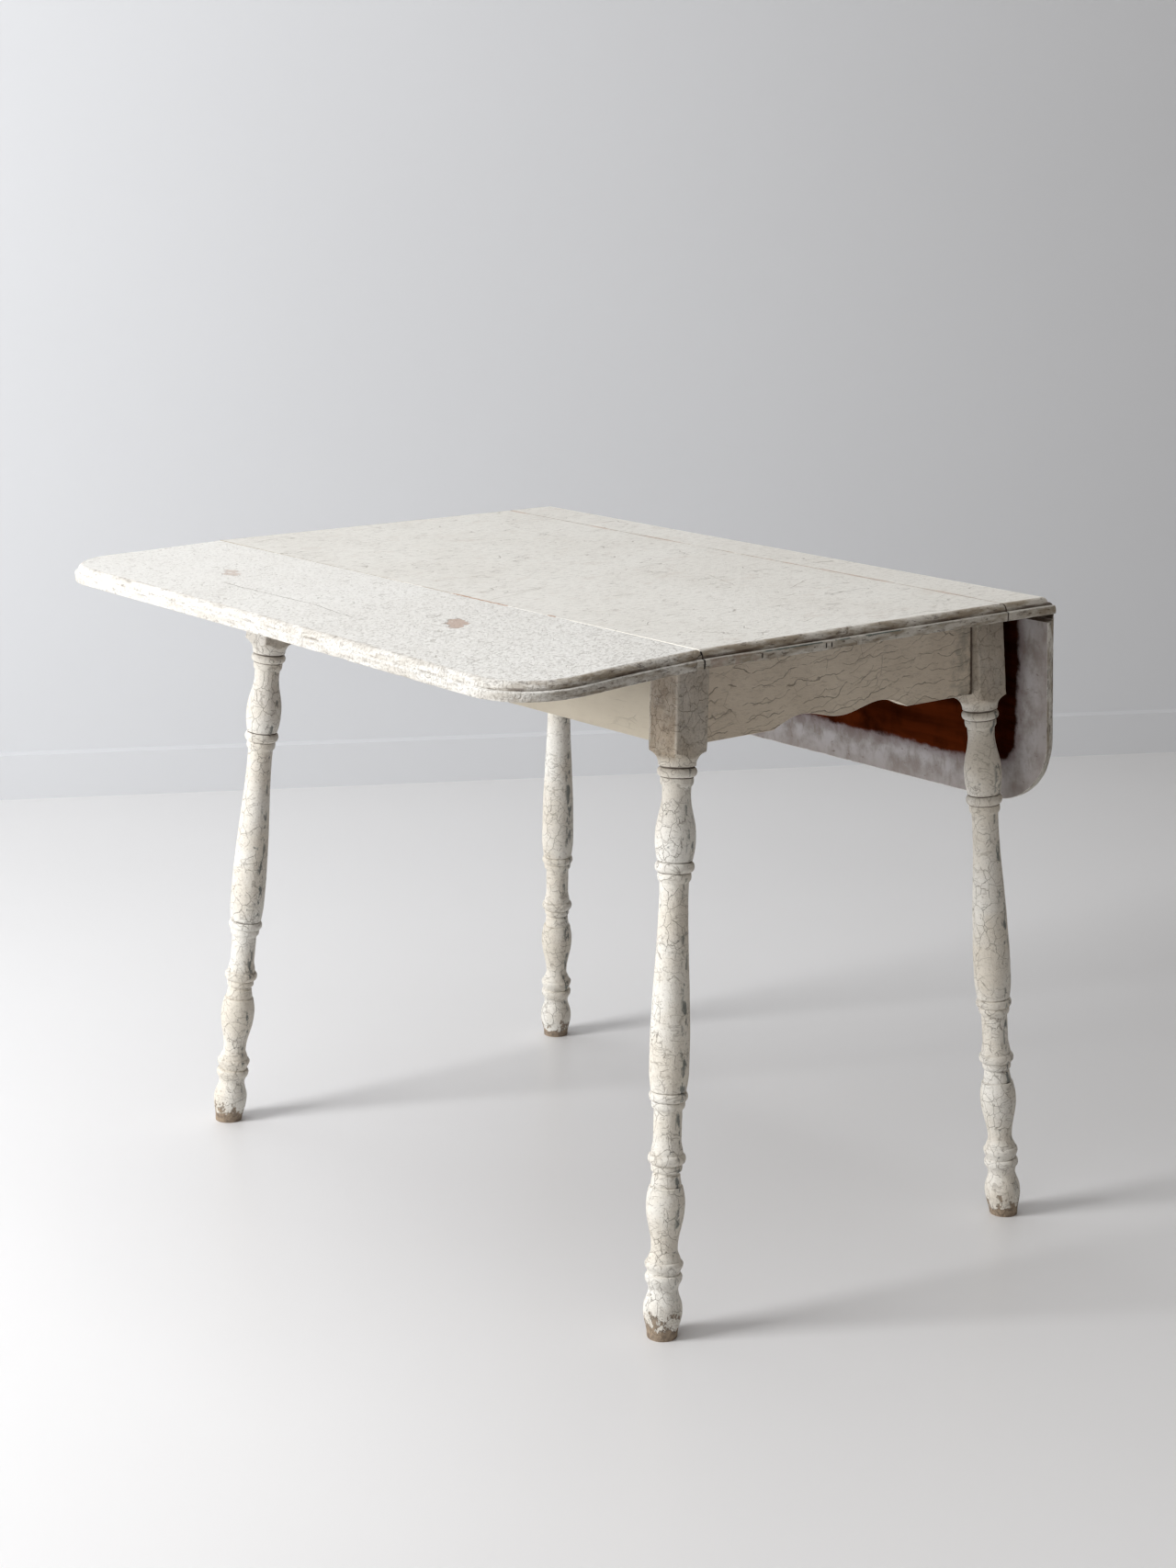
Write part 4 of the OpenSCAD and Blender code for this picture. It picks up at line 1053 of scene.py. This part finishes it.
def leaf_underside():
    """Dark wood with a border of thin paint brushed on roughly."""
    s = Shader("leaf_underside")
    loc = s.place()
    rim = s.value("rim")
    grain = s.stretched(s.warp(loc, 7.0, 0.012), 1.0, 0.1, 1.0)
    rings = s.noise(grain, 55.0, 6.0, 0.65)
    wood = s.mix(s.ramp(rings, 0.3, 0.7), colour("3a1404"), colour("1c0801"))
    # painted light: the wood lighter and redder in patches, fading out towards the near end
    lit = s.mul(s.ramp(s.parts(loc)[1], -0.4, -0.31), s.patches(grain, 30.0, 0.35, 0.6, 0.3, 0.9, 4.0))
    wood = s.tint(wood, lit, "5c260e")
    wood = s.tint(wood, s.patches(loc, 18.0, 0.45, 0.68, 0.0, 0.75, 4.0), "180701")
    brushed = s.add(s.ripple(loc, 9.0, 0.016), s.ripple(loc, 55.0, 0.012, 5.0, 0.65))
    hairs = s.ripple(s.stretched(loc, 1.0, 0.14, 1.0), 240.0, 0.003)
    edge = s.add(rim, s.add(brushed, hairs))
    coat = s.below(edge, 0.042, 0.0485)
    paint = s.mix(s.patches(loc, 28.0, 0.38, 0.66, 0.0, 1.0, 5.0, 0.65), colour("c4c1c2"), colour("9c9490"))
    streak = s.patches(s.stretched(loc, 0.3, 0.8, 1.0), 120.0, 0.5, 0.68, 0.0, 0.5, 4.0, 0.65)
    paint = s.tint(paint, streak, "8b8076")
    paint = s.tint(paint, s.ramp(rim, 0.0, 0.03, 0.5, 0.0), "a69d98")
    fleck = s.patches(s.stretched(loc, 1.0, 0.5, 1.0), 150.0, 0.64, 0.7, 0.0, 0.6, 4.0)
    paint = s.tint(paint, fleck, "6d5d55")
    paint = s.tint(paint, s.ramp(edge, 0.028, 0.047, 0.0, 0.6), "7c6a6c")
    base = s.mix(coat, wood, paint)
    height = s.add(s.mul(coat, 0.8), s.mul(rings, 0.5))
    return s.finish(base, s.add(0.55, s.mul(coat, 0.1)), height, specular=0.0)


LEAF_TOP = painted("leaf_paint", "edece7", "e7e5df", leaf_cracks, leaf_marks, (5.0, 0.5), 0.16, 0.55,
                   grain=(0.6, 1.0, 1.0), relief=0.0006)
FIXED_TOP = painted("top_paint", "e8e6df", "e1ded6", top_cracks, top_marks, (6.0, 0.6), 0.14, 0.6,
                    grain=(0.4, 1.0, 1.0), relief=0.0004)
LEG_PAINT = painted("leg_paint", "eeece5", "ddd5c6", leg_cracks, leg_marks, (12.0, 0.8), 0.26, 0.7,
                    relief=0.0006)
END_PAINT = painted("end_apron_paint", "ebdfcc", "dbcebb", apron_cracks, apron_marks, (9.0, 0.9), 0.24, 0.6,
                    grain=(0.3, 1.0, 1.0))
SIDE_PAINT = painted("side_apron_paint", "d6cdb9", "cac0ac", few_cracks, None, (9.0, 0.8), 0.06, 0.5,
                     grain=(0.2, 1.0, 1.0), relief=0.0002, rough=0.52)
UNDER_LEAF = leaf_underside()
UNDER_TOP = bare_wood("under_top_wood", "4a2a1a", "2a170e", "190d08", (1.0, 0.08, 1.0))
APRON_BACK = bare_wood("apron_back_wood", "7a5a40", "4a3324", "33221a", (0.1, 0.1, 1.0))
BRACE = bare_wood("brace_wood", "8f6f4e", "5f452f", "46311f", (0.12, 0.12, 1.0))
IRON = metal("iron", "55504a", "2e2a27", "5a3a28", 0.1, 0.42)
STEEL = metal("steel", "8a8680", "55514c", "6b4b36", 0.02, 0.35)

top_part("top_board", main_rows, 3, [FIXED_TOP, UNDER_TOP])
top_part("top_strip", strip_rows, 7, [FIXED_TOP, UNDER_TOP])
leaf("left_leaf", LEFT, SAG, (6.0, 3.5), (1.0, 0.45, 0.5), 11, [LEAF_TOP, UNDER_LEAF])
leaf("right_leaf", RIGHT, HANG, (0.0, 0.0), (1.0, 0.6, 0.5), 19, [LEAF_TOP, UNDER_LEAF])
leg("leg_near_left", LEFT, NEAR, 1.0, 23, [LEG_PAINT])
leg("leg_near_right", RIGHT, NEAR, 0.4, 28, [LEG_PAINT])
leg("leg_far_left", LEFT, FAR, 0.3, 33, [LEG_PAINT])
leg("leg_far_right", RIGHT, FAR, 0.4, 38, [LEG_PAINT])
apron("apron_near", 0, NEAR, (0.3, 1.1), 51, [END_PAINT, APRON_BACK])
apron("apron_far", 0, FAR, (0.4, 0.4), 53, [END_PAINT, APRON_BACK])
apron("apron_left", 1, LEFT, (0.3, 0.3), 57, [SIDE_PAINT, APRON_BACK])
apron("apron_right", 1, RIGHT, (0.4, 0.4), 59, [SIDE_PAINT, APRON_BACK])

# ---- CAD nodes kept as they are ----
for name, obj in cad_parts.items():
    if obj.hide_render:
        continue
    if "brace" in name or name in ("cross_batten", "glue_blocks"):
        finish, slot = BRACE, "bare_wood"
    elif "screws" in name or name.endswith("pin"):
        finish, slot = STEEL, "steel"
    else:
        finish, slot = IRON, "iron"
    obj.data.materials.clear()
    obj.data.materials.append(finish)


# ---- floor, wall, light and camera ----
def stage_mesh(name, verts, faces, material):
    """A surface around the table that isn't part of it, in metres."""
    mesh = bpy.data.meshes.new(name)
    mesh.from_pydata(verts, [], faces)
    mesh.materials.append(material)
    obj = bpy.data.objects.new(name, mesh)
    bpy.context.scene.collection.objects.link(obj)


def plain(name, code, rough, cloud):
    """One colour, with broad patches dimmed to a share of it."""
    s = Shader(name)
    dim = [c * cloud for c in colour(code)[:3]] + [1.0]
    base = s.mix(s.patches(s.object_place(), 0.9, 0.3, 0.7), colour(code), dim)
    return s.finish(base, rough, specular=0.4)


FLOOR = plain("floor", "ebebeb", 0.36, 0.98)
WALL = plain("wall", "e0e2e5", 0.9, 0.985)
stage_mesh("floor", [(-9, -9, 0), (9, -9, 0), (9, 9, 0), (-9, 9, 0)], [(0, 1, 2, 3)], FLOOR)
# the wall stands along a line on the floor behind the table, with a low skirting board
wall_foot, run, away = Vector((1.05, 1.74, 0)), Vector((0.892, -0.451, 0)), Vector((0.451, 0.892, 0))
wall_points = []
for offset, z in ((0.0, 0.0), (0.0, 0.085), (0.012, 0.09), (0.012, 5.0)):
    for s in (-8, 8):
        wall_points.append(wall_foot + run * s + away * offset + Vector((0, 0, z)))
stage_mesh("wall", wall_points, [(i, i + 1, i + 3, i + 2) for i in (0, 2, 4)], WALL)


def area_light(name, at, aim, size, watts, tint):
    """A lamp at one place, facing another, in metres."""
    data = bpy.data.lights.new(name, "AREA")
    data.shape = "RECTANGLE"
    data.size, data.size_y = size
    data.energy = watts
    data.color = tint
    obj = bpy.data.objects.new(name, data)
    obj.location = at
    obj.rotation_euler = (Vector(aim) - Vector(at)).to_track_quat("-Z", "Y").to_euler()
    bpy.context.scene.collection.objects.link(obj)


area_light("window", (-3.5, 1.1, 2.0), (0.0, 0.1, 0.55), (1.3, 2.0), 148, (0.99, 0.99, 0.995))
area_light("sky", (-1.4, 0.3, 3.4), (-0.1, 0.3, 0.0), (4.5, 4.5), 69, (0.955, 0.97, 1.0))
world = bpy.data.worlds.new("room")
world.use_nodes = True
room_light = world.node_tree.nodes["Background"].inputs
room_light["Color"].default_value = (0.98, 0.87, 0.76, 1.0)
room_light["Strength"].default_value = 0.165
bpy.context.scene.world = world
bpy.context.scene.view_settings.view_transform = "Standard"

camera = bpy.data.cameras.new("camera")
camera.sensor_width = 36.0
camera.lens = 63.93
camera_obj = bpy.data.objects.new("camera", camera)
right = Vector((0.75775, -0.65231, 0.01764))
up = Vector((0.14226, 0.19152, 0.97112))
back = right.cross(up)
camera_obj.matrix_world = Matrix.Translation((-2.18753, -2.47975, 1.30376)) @ Matrix(
    ((right.x, up.x, back.x), (right.y, up.y, back.y), (right.z, up.z, back.z))
).to_4x4()
bpy.context.scene.collection.objects.link(camera_obj)
bpy.context.scene.camera = camera_obj
